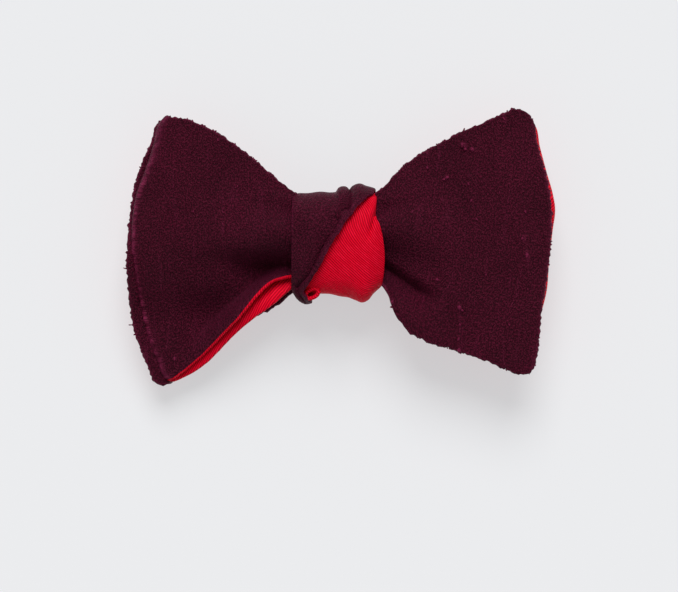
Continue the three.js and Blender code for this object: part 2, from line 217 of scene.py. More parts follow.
def rimSteps(lip):
    reach = cloth["rimReach"]
    under = -np.linspace(lip, 0, 5)[:-1] if lip > 0 else np.array([])
    start = max(-lip, 0)
    over = start + (reach - start) * np.linspace(0, 1, 13) ** 1.5
    return np.concatenate([under, over])


def rimRipple(along, seed):
    # Uneven by about a millimetre at a time, with a few larger knots.
    one = np.ones_like(along)
    knots = smoothStep(0.45, 0.9, noise(along / 1.1, seed * one, 8))
    return noise(along / 0.55, seed * one, 5) + 0.6 * noise(along / 1.7, seed * one, 6) + 1.1 * knots


def clothPly(name, surface, side, rows, columns, lips, endRim=False, relief=None, rowSteps=None, tilt=0,
             foldWearAndHighlight=None, calm=1.0):
    # One ply of a blade: side 1 lies along the surface's own normal and -1 against it.
    # lips are the lower edge's turn under and the upper edge's; a ply that stops short of the edge has less than 0.
    # calm is how much of the rim's unevenness the lower edge has.
    half, ply = cloth["halfThick"], cloth["ply"]
    a = np.linspace(0, 1, rows) if rowSteps is None else rowSteps
    probe = surface(np.repeat(a[:, None], 60, 1), np.repeat(np.linspace(-1, 1, 60)[None], len(a), 0))
    width = np.linalg.norm(np.diff(probe, axis=1), axis=-1).sum(1)
    length = np.linalg.norm(np.diff(probe[:, 30], axis=0), axis=-1).sum()
    rimLow, rimHigh = rimSteps(lips[0]), rimSteps(lips[1])
    offEdge = cloth["offEdge"]
    signA = np.full(len(a), offEdge)
    if endRim:
        a = np.concatenate([a[a < 1 - cloth["endReach"] / length], 1 - np.abs(rimHigh[::-1]) / length])
        signA = np.concatenate([np.full(len(a) - len(rimHigh), offEdge), rimHigh[::-1]])
        width = np.interp(a, np.linspace(0, 1, rows) if rowSteps is None else rowSteps, width)
    middle = np.linspace(0, 1, columns)[1:-1]
    lower, upper = np.tile(rimLow, (len(a), 1)), np.tile(rimHigh[::-1], (len(a), 1))
    span = width[:, None] - 2 * rimLow[-1]
    inside = rimLow[-1] + span * middle[None]
    signB = np.concatenate([lower, np.minimum(inside, width[:, None] - inside), upper], 1)
    place = np.concatenate([np.abs(lower), inside, width[:, None] - np.abs(upper)], 1)
    b = 2 * place / width[:, None] - 1
    a2 = np.repeat(a[:, None], b.shape[1], 1)
    signA = np.repeat(signA[:, None], b.shape[1], 1)
    toEdge = np.minimum(np.abs(signB), np.abs(signA))
    under = (signB < 0) | (signA < 0)
    base = surface(a2, b)
    normal = surfaceNormals(surface, a2, b) * side
    turned = None if rowSteps is None else np.clip((a - loopParts["front"]) / loopParts["turn"], 0, 1)
    uv = threadCoordinates(base, turned)
    rise = half * np.sqrt(1 - (1 - np.minimum(toEdge / half, 1)) ** 2)
    fromSeam = np.minimum(signB + np.where(b < 0, *lips), signA + lips[1])
    dip = cloth["seamDip"] * np.exp(-((fromSeam / 0.3) ** 2))
    lift = np.where(under, -1, 1)
    bumps = np.zeros_like(b) if relief is None else relief(base, uv) * smoothStep(-0.2, 0.6, np.minimum(signB, signA))
    outer = base + normal * (lift * (np.maximum(rise - dip, 0.03)) + bumps)[..., None]
    # the rim is uneven where thick threads turn over it
    uneven = cloth["rimNoise"] * np.where(b < 0, calm, 1.0)
    outward = np.where(b > 0, 1.0, -1.0) * np.exp(-toEdge / 0.7) * (signA > 1)
    outer[..., 1] += uneven * rimRipple(uv[..., 0], 5 + np.sign(b)) * outward
    if endRim:
        outer[..., 0] += uneven * rimRipple(uv[..., 1], 9) * np.exp(-np.abs(signA) / 0.7) * np.sign(base[..., 0])
    # painted highlight and wear: raised slubs and the rims are lightened, partly for paler thread and real wear, partly
    # as a highlight painted where they catch the light
    wearAndHighlight = np.clip((bumps - 0.08) / 0.40, 0, 0.45)
    patchy = 0.6 + 0.6 * noise(uv[..., 0] / 0.8, uv[..., 1] / 0.8, 12)
    wearAndHighlight = np.maximum(wearAndHighlight, 0.55 * np.exp(-((toEdge / 0.55) ** 2)) * patchy)
    # painted highlight and wear: a band across the loop's fold is lightened the same way
    if foldWearAndHighlight is not None:
        atFold = np.exp(-(((a2 - foldWearAndHighlight[0]) / foldWearAndHighlight[1]) ** 2))
        wearAndHighlight = np.maximum(wearAndHighlight, atFold * patchy)
        outer += normal * (cloth["rimNoise"] * 0.8 * rimRipple(uv[..., 1], 21) * atFold)[..., None]
    inset = np.maximum(place, ply)
    inset = np.minimum(inset, width[:, None] - ply)
    innerB = 2 * inset / width[:, None] - 1
    innerA = np.where(signA < offEdge, np.minimum(a2, 1 - ply / length), a2)
    innerRise = np.maximum(rise - ply, 0.02)
    inner = surface(innerA, innerB) + normal * (lift * innerRise)[..., None]
    turn = math.radians(tilt)
    uv = np.stack([
        uv[..., 0] * math.cos(turn) + uv[..., 1] * math.sin(turn),
        uv[..., 1] * math.cos(turn) - uv[..., 0] * math.sin(turn),
    ], -1)
    piece = closedSkin(name, outer, inner, uv)
    markWearAndHighlight(piece, np.concatenate([wearAndHighlight.ravel(), np.zeros(wearAndHighlight.size)]))
    return piece


def clothCore(name, surface, rows, columns, endRim=False, margin=1.3):
    # The interlining between the two plies, out of sight behind both seams.
    a = np.linspace(0, 0.975 if endRim else 1, rows)
    a2, b2 = np.meshgrid(a, np.linspace(-1, 1, columns), indexing="ij")
    width = np.linalg.norm(np.diff(surface(a2, b2), axis=1), axis=-1).sum(1)[:, None]
    b2 = b2 * (1 - 2 * margin / width)
    base = surface(a2, b2)
    normal = surfaceNormals(surface, a2, b2)
    uv = threadCoordinates(base)
    half = cloth["core"]
    return closedSkin(name, base + normal * half, base - normal * half, uv)


class Num:
    # A number socket; arithmetic on it adds Math nodes to its tree.
    def __init__(self, tree, socket):
        self.tree, self.socket = tree, socket

    def math(self, operation, *values):
        node = self.tree.nodes.new("ShaderNodeMath")
        node.operation = operation
        for slot, value in zip(node.inputs, values):
            if isinstance(value, Num):
                self.tree.links.new(value.socket, slot)
            else:
                slot.default_value = value
        return Num(self.tree, node.outputs[0])

    def __add__(self, other):
        return self.math("ADD", self, other)

    __radd__ = __add__

    def __sub__(self, other):
        return self.math("SUBTRACT", self, other)

    def __rsub__(self, other):
        return self.math("SUBTRACT", other, self)

    def __mul__(self, other):
        return self.math("MULTIPLY", self, other)

    __rmul__ = __mul__

    def sin(self):
        return self.math("SINE", self)

    def size(self):
        return self.math("ABSOLUTE", self)

    def between(self, low, high):
        # 0 below low and 1 above high, smooth between them
        node = self.tree.nodes.new("ShaderNodeMapRange")
        node.interpolation_type = "SMOOTHSTEP"
        self.tree.links.new(self.socket, node.inputs[0])
        node.inputs[1].default_value, node.inputs[2].default_value = low, high
        return Num(self.tree, node.outputs[0])


class Finish:
    # A material with one Principled shader, whose constants are set on its own sockets.
    def __init__(self, name, **constants):
        self.material = bpy.data.materials.new(name)
        self.material.use_nodes = True
        self.tree = self.material.node_tree
        self.shader = next(n for n in self.tree.nodes if n.type == "BSDF_PRINCIPLED")
        for key, value in constants.items():
            self.shader.inputs[key.replace("_", " ")].default_value = value

    def node(self, kind, settings=None, sockets=None, out=0):
        node = self.tree.nodes.new(kind)
        for key, value in (settings or {}).items():
            setattr(node, key, value)
        for key, value in (sockets or {}).items():
            self.feed(node.inputs[key], value)
        socket = node.outputs[out]
        return Num(self.tree, socket) if socket.type == "VALUE" else socket

    def feed(self, slot, value):
        if isinstance(value, Num):
            self.tree.links.new(value.socket, slot)
        elif isinstance(value, bpy.types.NodeSocket):
            self.tree.links.new(value, slot)
        else:
            slot.default_value = value

    def threads(self):
        # Millimetres along the blade and across it, and the pair as a vector.
        uv = self.node("ShaderNodeUVMap", {"uv_map": "weave"})
        split = self.tree.nodes.new("ShaderNodeSeparateXYZ")
        self.tree.links.new(uv, split.inputs[0])
        return Num(self.tree, split.outputs[0]), Num(self.tree, split.outputs[1]), uv

    def speckle(self, x, y, detail=2.0, rough=0.5, seed=0.0):
        place = self.node("ShaderNodeCombineXYZ", None, {0: x, 1: y, 2: seed})
        return self.node("ShaderNodeTexNoise", None,
                         {"Vector": place, "Scale": 1.0, "Detail": detail, "Roughness": rough})

    def mix(self, amount, low, high):
        return self.node("ShaderNodeMix", {"data_type": "RGBA"}, {0: amount, 6: low, 7: high}, out=2)

    def bump(self, height, distance):
        return self.node("ShaderNodeBump", None, {"Height": height, "Distance": distance, "Strength": 1.0})

    def wear(self, **links):
        for key, value in links.items():
            self.feed(self.shader.inputs[key.replace("_", " ")], value)
        return self.material


rawSilkLook = {
    "deep": (0.0050, 0.0003, 0.0012, 1),
    "body": (0.0980, 0.0060, 0.0230, 1),
    # slub is also the colour that the painted highlight on rims, the fold and raised threads lightens towards
    "slub": (0.2100, 0.0180, 0.0640, 1),
    "warp": 0.34,  # thread pitch along the blade, in millimetres
    "weft": 0.40,
}


def rawSilk(name):
    look = rawSilkLook
    f = Finish(name, Specular_IOR_Level=0.11, Sheen_Weight=0.05, Sheen_Roughness=0.4,
               Specular_Tint=(1.0, 0.55, 0.70, 1), Sheen_Tint=(0.90, 0.12, 0.36, 1))
    u, v, _ = f.threads()
    # the mesh attribute read here holds wear and a painted highlight, as a 0 to 1 lightening
    wearAndHighlight = f.node("ShaderNodeAttribute", {"attribute_name": "wearAndHighlight"}, out=2)
    sway = f.speckle(u * 0.9, v * 0.9, 2, 0.5, 3.0)
    grain = f.speckle(u * 2.5, v * 1.7, 1, 0.5, 5.0).between(0.38, 0.62)
    fine = f.speckle(u * 4.2, v * 3.0, 1, 0.5, 15.0).between(0.36, 0.64)
    streak = f.speckle(u * 2.3, v * 0.16, 2, 0.6, 7.0).between(0.32, 0.68)
    slub = f.speckle(u * 1.15, v * 0.055, 1, 0.4, 19.0).between(0.60, 0.72)
    slub = slub * f.speckle(u * 1.8, v * 0.7, 2, 0.6, 2.0).between(0.38, 0.62)
    fleck = f.speckle(u * 2.1, v * 1.5, 1, 0.5, 43.0).between(0.68, 0.78)
    warp = (u * (2 * math.pi / look["warp"]) + sway * 5.0).sin()
    weft = (v * (2 * math.pi / look["weft"]) + sway * 5.0).sin()
    plain = warp * weft * 0.5 + 0.5
    patch = f.speckle(u * 0.07, v * 0.05, 2, 0.5, 13.0)
    tone = (grain * 0.52 + fine * 0.22 + streak * 0.14 + plain * 0.10) * (patch * 0.8 + 0.56)
    colour = f.mix(tone, look["deep"], look["body"])
    colour = f.mix(slub * 0.20, colour, look["slub"])
    colour = f.mix(fleck * 0.40, colour, look["slub"])
    # painted highlight and wear: lightens rims, the fold, raised slubs and thread ends towards the slub colour
    colour = f.mix(wearAndHighlight * 0.80, colour, look["slub"])
    height = plain * 0.25 + streak * 0.35 + grain * 0.8 + fine * 0.25 + slub * 0.6
    return f.wear(Base_Color=colour, Normal=f.bump(height, 0.00026), Roughness=0.50 - slub * 0.10)


twillLook = {
    "deep": (0.370, 0.0009, 0.0085, 1),
    "body": (0.890, 0.0022, 0.0250, 1),
    "light": (1.000, 0.0140, 0.0620, 1),
    "rib": 0.60,  # from one rib to the next, in millimetres
    "yarn": 0.36,
    "slant": 45,
}


def silkTwill(name):
    look = twillLook
    f = Finish(name, Specular_IOR_Level=0.07, Sheen_Weight=0.04, Sheen_Roughness=0.4,
               Specular_Tint=(1.0, 0.35, 0.45, 1), Sheen_Tint=(1.0, 0.20, 0.28, 1))
    u, v, _ = f.threads()
    slant = math.radians(look["slant"])
    sway = f.speckle(u * 0.35, v * 0.35, 2, 0.5, 3.0)
    across = u * math.sin(slant) + v * math.cos(slant) + sway * 0.35
    along = u * math.cos(slant) - v * math.sin(slant)
    rib = ((across * (2 * math.pi / look["rib"])).sin() * 0.5 + 0.5).between(0.15, 0.80)
    yarn = (along * (2 * math.pi / look["yarn"]) + rib * 2.0).sin() * 0.5 + 0.5
    thread = f.speckle(across * 1.7, along * 0.25, 2, 0.6, 9.0).between(0.25, 0.75)
    cloud = f.speckle(u * 0.09, v * 0.09, 2, 0.5, 21.0)
    tone = rib * 0.66 + thread * 0.20 + yarn * rib * 0.12 + cloud * 0.12
    colour = f.mix(tone, look["deep"], look["body"])
    colour = f.mix((rib * thread).between(0.40, 0.80) * 0.30, colour, look["light"])
    height = rib * 1.0 + yarn * 0.15 + thread * 0.3
    return f.wear(Base_Color=colour, Normal=f.bump(height, 0.00012), Roughness=0.50 - rib * 0.1)


woolLook = {"pitch": 0.7, "dark": (0.42, 0.37, 0.29, 1), "pale": (0.72, 0.67, 0.57, 1)}


def undyedWool(name):
    f = Finish(name, Specular_IOR_Level=0.2)
    u, v, _ = f.threads()
    turns = 2 * math.pi / woolLook["pitch"]
    weave = (u * turns).sin() * (v * turns).sin() * 0.5 + 0.5
    hair = f.speckle(u * 2.0, v * 2.0, 4, 0.7, 1.0)
    colour = f.mix(weave * 0.5 + hair * 0.5, woolLook["dark"], woolLook["pale"])
    return f.wear(Base_Color=colour, Roughness=0.9, Normal=f.bump(weave + hair, 0.0002))


plumSilk = rawSilk("plum raw silk")
redTwill = silkTwill("red silk twill")
wool = undyedWool("undyed wool interlining")
print("cloth finishes made")


def leafSurface(leaf):
    # a runs from the knot to the wing's end and b from the lower edge to the upper edge.
    upper, lower, end = leaf["upper"], leaf["lower"], leaf["end"]
    high, low = np.array(upper[-1], float), np.array(lower[-1], float)

    def surface(a, b):
        flat = curveThrough(upper, a) * ((1 + b) / 2)[..., None] + curveThrough(lower, a) * ((1 - b) / 2)[..., None]
        chord = high * ((1 + b) / 2)[..., None] + low * ((1 - b) / 2)[..., None]
        flat = flat + a[..., None] * (curveThrough(end, (1 - b) / 2) - chord)
        x, y = flat[..., 0], flat[..., 1]
        out = np.clip(np.abs(x) - 13, 0, 48) / 46
        z = profile(leaf["spine"], out) + leaf["height"](x, y, out, b)
        return np.stack([x, y, z], -1)

    return surface


flapLine = ((-21, -7.6), (-44, -26.5))  # the groove that all three left leaves share


def leftSettle(x, y):
    # The wing's lower half hangs back towards the shirt, more at its outer corner.
    return -2.4 * smoothStep(6, 38, -y) - 5.8 * smoothStep(-1, 22, -y) * smoothStep(24, 45, -x)


def leftFrontHeight(x, y, out, b):
    z = 3.7 * fold(x, y, (-12, 3.4), (-34, 3.0), (4.4, 12), 1, (0.2, 0.9)) + leftSettle(x, y)
    z += fold(x, y, (-15, 5.2), (-24, 4.8), (2.8, 3.6), 0.9, (0.4, 0.5))
    z += fold(x, y, (-11, -5.5), (-42, -4.6), (2.2, 6.4), -4.5, (0.2, 0.6), -0.1)
    z += fold(x, y, *flapLine, (3.2, 7.0), -5.4, (0.35, 0.5), 0.45)
    z += fold(x, y, (-12, -9.4), (-32, -22), (1.6, 3.6), 1.2, (0.2, 0.8))
    z += fold(x, y, (-13, 12.6), (-27, 17.5), (1.6, 4), 0.6, (0.2, 0.7))
    z -= 0.2 * smoothStep(0.5, 1.0, np.abs(b)) * out
    return z + 0.22 * noise(x / 9, y / 8, 3) + 0.08 * noise(x / 3.5, y / 4, 4)


def leftRearHeight(x, y, out, b):
    z = fold(x, y, (-12, -13), (-30, -22), (2.2, 5), 0.5, (0.2, 0.8)) + leftSettle(x, y)
    z += fold(x, y, (-11, -6), (-44, -7), (4, 9), -2.6, (0.2, 0.8))
    z += fold(x, y, *flapLine, (3.6, 8), -3.6, (0.35, 0.5), 0.3)
    z += 3.1 * smoothStep(0.0, -0.95, b) * (1 - smoothStep(0.45, 0.9, out))
    return z + 0.08 * noise(x / 7, y / 7, 14)


def leftTipHeight(x, y, out, b):
    foldEdge = np.array(leftFront["end"][::-1])
    beyond = np.interp(y, foldEdge[:, 1], foldEdge[:, 0]) - x
    z = leftSettle(x, y) - 0.2 * smoothStep(0.3, 1.0, np.abs(b)) * out
    z += smoothStep(-0.5, 0.9, beyond) * (0.9 + 3.0 * smoothStep(8, -8, y))
    z += fold(x, y, *flapLine, (3.6, 8), -2.6, (0.35, 0.5), 0.3)
    return z + 0.10 * noise(x / 8, y / 9, 24)


def rightFrontHeight(x, y, out, b):
    z = 2.9 * fold(x, y, (11, 5.0), (34, 6.0), (5.0, 14), 1, (0.2, 0.8))
    z += fold(x, y, (9.5, -3.4), (26.5, -15.6), (2.6, 4.2), -4.1, (0.25, 0.30), 0.45)
    z += fold(x, y, (11, -1.6), (28, -8.0), (4.0, 6.5), -1.7, (0.2, 0.5), -0.1)
    z += fold(x, y, (11, -10.5), (22, -22), (1.8, 4), 1.3, (0.25, 0.7))
    z += fold(x, y, (12, 12.8), (26, 20), (1.6, 5), 0.6, (0.2, 0.8))
    z += fold(x, y, (12, 9.8), (24, 13), (1.3, 3), -0.4, (0.2, 0.8))
    z -= 0.7 * smoothStep(0.5, 1.0, np.abs(b)) * out
    return z + 0.22 * noise(x / 9, y / 9, 33) + 0.07 * noise(x / 3.8, y / 4.2, 34)


def rightRearHeight(x, y, out, b):
    return -0.3 * smoothStep(0.3, 1.0, np.abs(b)) * out + 0.08 * noise(x / 8, y / 9, 44)


# the folds of the two loops, which the front and rear leaf of each share
leftFoldLine = [(-49.8, 34.9), (-51.8, 28.1), (-54.2, 20.8), (-56.4, 14.9), (-57.5, 8.7), (-57.9, 2.0),
                (-57.6, -5.6), (-56.1, -15.6), (-54, -25), (-51.2, -32.2), (-49.6, -36.2)]
rightFoldLine = [(54.1, 34.4), (55.9, 27.8), (57.8, 20.6), (59.5, 14.6), (60.1, 11.0), (59.4, 4.5), (58.4, -4),
                 (57.8, -12), (55.9, -20), (54.4, -28)]
leftFront = {
    "upper": [(-10.5, 13.8), (-13.1, 15.7), (-15.3, 17.1), (-19.5, 20.7), (-25.1, 25.5), (-32.2, 30.7), (-39.2, 34.2),
              (-44.8, 35.9), (-48.3, 36.4)],
    "lower": [(-10.5, -8.6), (-13.9, -8.7), (-16.6, -9.2), (-19.4, -10.4), (-22.7, -13.5), (-25.5, -16.8),
              (-28.3, -20.2),
              (-31.6, -23.6), (-34.9, -26.9), (-38.6, -30.2), (-43.2, -33.6), (-48.3, -37.2)],
    "end": [(-48.3, 36.4), *leftFoldLine, (-48.2, -37.4)],
    "spine": [(0, 18.6), (0.3, 19.2), (0.7, 18.5), (1.0, 17.2)],
    "height": leftFrontHeight,
}
leftRear = {
    "upper": [(-10.5, 12.6), (-14.5, 14.6), (-19.5, 18.8), (-26, 24.2), (-33, 29.4), (-40.2, 33.4), (-48.3, 36.2)],
    "lower": [(-10.5, -10.6), (-13.9, -12.3), (-15.9, -14.1), (-18.3, -16.1), (-20.9, -18.0), (-23.8, -20.0),
              (-27.8, -23.3),
              (-31.2, -26.6), (-34.4, -29.9), (-36.5, -31.8), (-38.6, -33.4), (-41.0, -35.0), (-44.6, -36.8),
              (-48.2, -38.3)],
    "end": [(-48.3, 36.2), *leftFoldLine, (-48.2, -38.2)],
    "spine": [(0, 13.6), (0.3, 13.7), (0.7, 14.8), (1.0, 15.8)],
    "height": leftRearHeight,
}
leftTip = {
    "upper": [(-10.5, 9.5), (-14.5, 12), (-20, 17.2), (-27, 23.2), (-34.5, 28.6), (-42.2, 33.0), (-49.2, 35.9)],
    "lower": [(-10.5, -12.0), (-13.4, -13.2), (-15.8, -15.0), (-18.0, -16.9), (-21.2, -18.4), (-27, -22.0),
              (-33, -27.0),
              (-40, -33.0), (-46.0, -37.4), (-50.0, -39.5)],
    "end": [(-49.2, 35.9), (-50.6, 35.5), (-53.1, 29.4), (-55.1, 25.3), (-57.2, 19.2), (-58.6, 12.1), (-59.4, 5.9),
            (-59.8, -0.7), (-60.0, -5.6), (-59.5, -12.8), (-58.7, -21.6), (-57.2, -26.7), (-55.8, -30.4),
            (-54.0, -35.3),
            (-52.1, -38.6), (-50.0, -39.5)],
    "spine": [(0, 11.0), (0.3, 11.0), (0.7, 12.6), (1.0, 14.3)],
    "height": leftTipHeight,
}
rightFront = {
    "upper": [(10, 15.0), (12.3, 16.8), (15.5, 20.2), (19.2, 23.7), (24.6, 27.2), (30.5, 30.4), (34.7, 32.5),
              (40.6, 35.0), (45.9, 37.5), (48.0, 38.5), (50.6, 38.6)],
    "lower": [(10, -10), (12.1, -11.3), (13.5, -13.4), (14.4, -16), (16.4, -20.2), (19.0, -23.5), (24, -26.5),
              (29.9, -28.4), (39.5, -31.6), (43.8, -33.2), (48.1, -35.1), (51.2, -36.0)],
    "end": [(50.6, 38.6), (52.6, 37.6), (54.0, 35.9), (55.6, 29), (57.6, 21.6), (58.9, 15.7), (59.5, 10.5), (59.5, 3.9),
            (58.9, -4.1), (57.7, -12.1), (56.6, -20.1), (55.8, -28.1), (54.9, -33.4), (53.4, -35.5), (51.2, -36.0)],
    "spine": [(0, 18.6), (0.3, 19.4), (0.7, 19.2), (1.0, 18.4)],
    "height": rightFrontHeight,
}
rightRearA = {
    "upper": [(10, 13.0), (14, 15.6), (20, 21.6), (28, 26.8), (36, 31), (44, 34.4), (50.5, 36.0)],
    "lower": [(9, -7.5), (13.4, -11.4), (18.6, -18.6), (28, -24.8), (36, -27.6), (44, -30.4), (51.3, -32.8)],
    "end": [(50.5, 36.0), *rightFoldLine, (51.3, -32.8)],
    "spine": [(0, 13.2), (0.2, 13.6), (0.7, 15.3), (1.0, 15.9)],
    "height": rightRearHeight,
}
rightRearB = {
    "upper": [(10, 11.4), (14, 14.2), (20, 20.0), (28, 25.4), (36, 30.0), (44, 33.8), (50.5, 35.8)],
    "lower": [(9, -8.4), (13.4, -11.8), (18.6, -18.2), (28, -24.4), (36, -27.4), (44, -30.2), (51.3, -32.6)],
    "end": [(50.5, 35.8), *rightFoldLine, (51.3, -32.6)],
    "spine": [(0, 11.2), (0.3, 11.4), (0.7, 12.4), (1.0, 13.5)],
    "height": rightRearHeight,
}


loopParts = {"front": 0.52, "turn": 0.07}


def loopSurface(front, rear):
    # Out along the front leaf, round the fold, and back along the rear leaf.
    frontLeaf, rearLeaf = leafSurface(front), leafSurface(rear)
    frontPart, turnPart = loopParts["front"], loopParts["turn"]
    rearPart = 1 - frontPart - turnPart

    def surface(a, b):
        one = np.ones_like(a)
        start, finish = frontLeaf(one, b), rearLeaf(one, b)
        turn = np.clip((a - frontPart) / turnPart, 0, 1) * math.pi
        radius = (start[..., 2] - finish[..., 2]) / 2
        middle = (start + finish) / 2
        blend = ((1 - np.cos(turn)) / 2)[..., None]
        bent = start * (1 - blend) + finish * blend
        bent[..., 2] = middle[..., 2] + radius * np.cos(turn)
        bent[..., 0] += np.sign(middle[..., 0]) * radius * np.sin(turn)
        ahead = frontLeaf(np.clip(a / frontPart, 0, 1), b)
        behind = rearLeaf(np.clip((1 - a) / rearPart, 0, 1), b)
        # the fold's roundness eats into the leaves' own ends, so they are pulled in by its radius
        shift = -np.sign(middle[..., 0]) * radius
        ahead[..., 0] += shift * smoothStep(0.6, 1.0, a / frontPart)
        behind[..., 0] += shift * smoothStep(0.6, 1.0, (1 - a) / rearPart)
        bent[..., 0] += shift
        onFront, onRear = (a <= frontPart)[..., None], (a >= frontPart + turnPart)[..., None]
        return np.where(onFront, ahead, np.where(onRear, behind, bent))

    return surface


def loopRows(front, turn, rear):
    frontPart, turnPart = loopParts["front"], loopParts["turn"]
    return np.concatenate([
        np.linspace(0, frontPart, front)[:-1],
        np.linspace(frontPart, frontPart + turnPart, turn)[:-1],
        np.linspace(frontPart + turnPart, 1, rear),
    ])


def slubs(marks, seed, density=0.09):
    # Thick places in the weft: marked ones where (x, top, bottom, width, height), and a scatter of small ones.
    def relief(points, uv):
        x, y = points[..., 0], points[..., 1]
        total = np.zeros_like(x)
        for slubX, top, bottom, width, height, drift in marks:
            t = (top - y) / max(top - bottom, 1e-6)
            wander = 0.12 * noise(y / 3, np.full_like(y, slubX), seed)
            beads = 0.65 + 0.35 * noise(y / 0.9, np.full_like(y, slubX), seed + 1)
            shape = np.exp(-(((x - slubX - drift * np.clip(t, 0, 1) - wander) / width) ** 2))
            total += height * shape * beads * smoothStep(-0.06, 0.06, t) * (1 - smoothStep(0.94, 1.06, t))
        u, v = uv[..., 0], uv[..., 1]
        cell = noise(u / 0.55, v / 9, seed + 2)
        total += 0.10 * smoothStep(0.55, 0.85, cell) * (0.6 + 0.4 * noise(u, v / 0.8, seed + 3))
        total += 0.028 * noise(u / 0.5, v / 5, seed + 4) + 0.018 * noise(u / 0.7, v / 0.7, seed + 5)
        knots = noise(u / 0.9, v / 1.5, seed + 6)
        return total + density * smoothStep(0.78, 0.95, knots)

    return relief


leftMarks = [
    (-32.6, 16.0, 3.4, 0.45, 0.16, 0.2), (-33.8, 33.0, 24.0, 0.4, 0.10, 0.3), (-27.4, 9.0, -1.0, 0.4, 0.09, 0.3),
    (-44.6, 8.0, -6.0, 0.4, 0.09, 0.0), (-38.5, -8.0, -22.0, 0.4, 0.10, -0.4), (-50.0, 10.0, -4.0, 0.4, 0.08, 0.0),
    (-34.0, 30.4, 29.4, 0.5, 0.22, 0), (-40.9, 10.3, 9.3, 0.5, 0.16, 0), (-46.6, -31.0, -32.6, 0.6, 0.25, 0),
]
rightMarks = [
    (34.6, 31.0, 2.0, 0.5, 0.16, 4.0), (51.4, 14.0, -6.5, 0.55, 0.16, 1.2), (33.6, -15.8, -29.8, 0.45, 0.17, 0.1),
    (34.5, 29.0, 27.4, 0.9, 0.36, 0.5), (37.2, 27.8, 26.0, 0.9, 0.36, 0.4), (30.1, 19.7, 18.3, 1.0, 0.36, -0.6),
    (27.3, -8.8, -10.2, 0.6, 0.30, 0), (33.6, -16.6, -18.4, 0.8, 0.34, 0.2), (52.5, -1.4, -3.8, 0.6, 0.30, 0.1),
    (51.2, 3.2, 0.6, 0.6, 0.20, 0.2), (46.0, 37.0, 34.5, 0.7, 0.26, 0.3), (14.6, -14.6, -16.6, 0.7, 0.28, 0.2),
    (39.0, 24.0, 12.0, 0.4, 0.12, 1.4), (28.4, 16.0, 6.0, 0.4, 0.10, 1.2), (43.5, 28.0, 18.0, 0.4, 0.10, 1.6),
    (46.2, -3.0, -20.0, 0.4, 0.10, 0.6), (33.5, -28.4, -29.9, 0.8, 0.34, 0.1), (24.5, 26.6, 24.6, 0.5, 0.22, 0.3),
]


leftNubs = [
    (-34.0, 29.8, 0.9, 0.24, 0.2), (-40.9, 9.8, 0.8, 0.2, 0.1), (-46.6, -31.6, 1.1, 0.3, 0.3),
    (-28.6, 16.8, 0.7, 0.16, 0),
    (-32.7, 9.6, 0.9, 0.17, 0.1), (-32.6, 6.2, 0.8, 0.16, 0), (-32.5, 12.4, 0.8, 0.15, 0.1),
    (-44.2, -4.6, 0.7, 0.15, 0.1),
]
rightNubs = [
    (34.5, 28.4, 1.5, 0.52, 0.3), (35.3, 27.2, 1.0, 0.39, -0.5), (37.1, 27.1, 1.4, 0.55, 0.4),
    (30.1, 19.2, 1.1, 0.52, -0.9),
    (29.2, 18.7, 0.8, 0.34, -0.5), (27.3, -9.4, 1.0, 0.36, 0.1), (33.6, -17.3, 1.5, 0.49, 0.2),
    (34.3, -18.0, 0.9, 0.36, 0.5),
    (52.5, -2.5, 1.7, 0.42, 0.1), (51.2, 2.2, 1.0, 0.29, 0.2), (46.0, 35.8, 1.1, 0.34, 0.3),
    (14.8, -15.6, 1.1, 0.44, 0.3),
    (33.5, -29.2, 1.4, 0.55, 0.1), (24.5, 22.0, 1.0, 0.31, 0.3), (36.0, 17.4, 1.1, 0.26, 0.2),
    (36.9, 12.8, 1.0, 0.25, 0.2),
    (38.3, 7.6, 1.0, 0.23, 0.2), (44.8, 15.0, 0.8, 0.22, 0.1), (52.0, 9.6, 1.0, 0.29, 0.1),
    (33.7, -22.0, 0.9, 0.26, 0.1),
    (33.4, -26.0, 1.0, 0.31, 0), (20.4, 9.6, 0.8, 0.21, 0.1), (41.0, -8.0, 0.8, 0.21, 0), (47.5, -22.0, 0.9, 0.23, 0.2),
]


def cutSize(surface):
    # Width, length and area of the flat cloth that a surface was cut from, in metres.
    a, b = np.meshgrid(np.linspace(0, 1, 160), np.linspace(-1, 1, 60), indexing="ij")
    p = surface(a, b) * metre
    across = np.linalg.norm(np.diff(p, axis=1), axis=-1).sum(1).max()
    along = np.linalg.norm(np.diff(p, axis=0), axis=-1).sum(0).max()
    cells = np.cross(p[1:, :-1] - p[:-1, :-1], p[:-1, 1:] - p[:-1, :-1])
    return float(across), float(along), float(np.linalg.norm(cells, axis=-1).sum())


def asCloth(piece, size):
    width, length, area = size
    print("cloth", piece.name, "cut", round(width / metre, 1), "by", round(length / metre, 1), "mm")


def joinInto(piece, *extras):
    every = [piece, *extras]
    with bpy.context.temp_override(active_object=piece, object=piece, selected_objects=every,
                                   selected_editable_objects=every):
        bpy.ops.object.join()


def finishPiece(piece, material, body, nodes=(), bend=None):
    # bend holds the X where the piece would stop following the knot and the X where it would follow body, in
    # millimetres, but those values are not used: where bend is given the piece is left unattached, with its transform
    # baked in.
    piece.data.materials.clear()
    piece.data.materials.append(material)
    if bend is None:
        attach(piece, body)
    else:
        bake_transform(piece)
    if nodes:
        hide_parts(*nodes)
    return piece


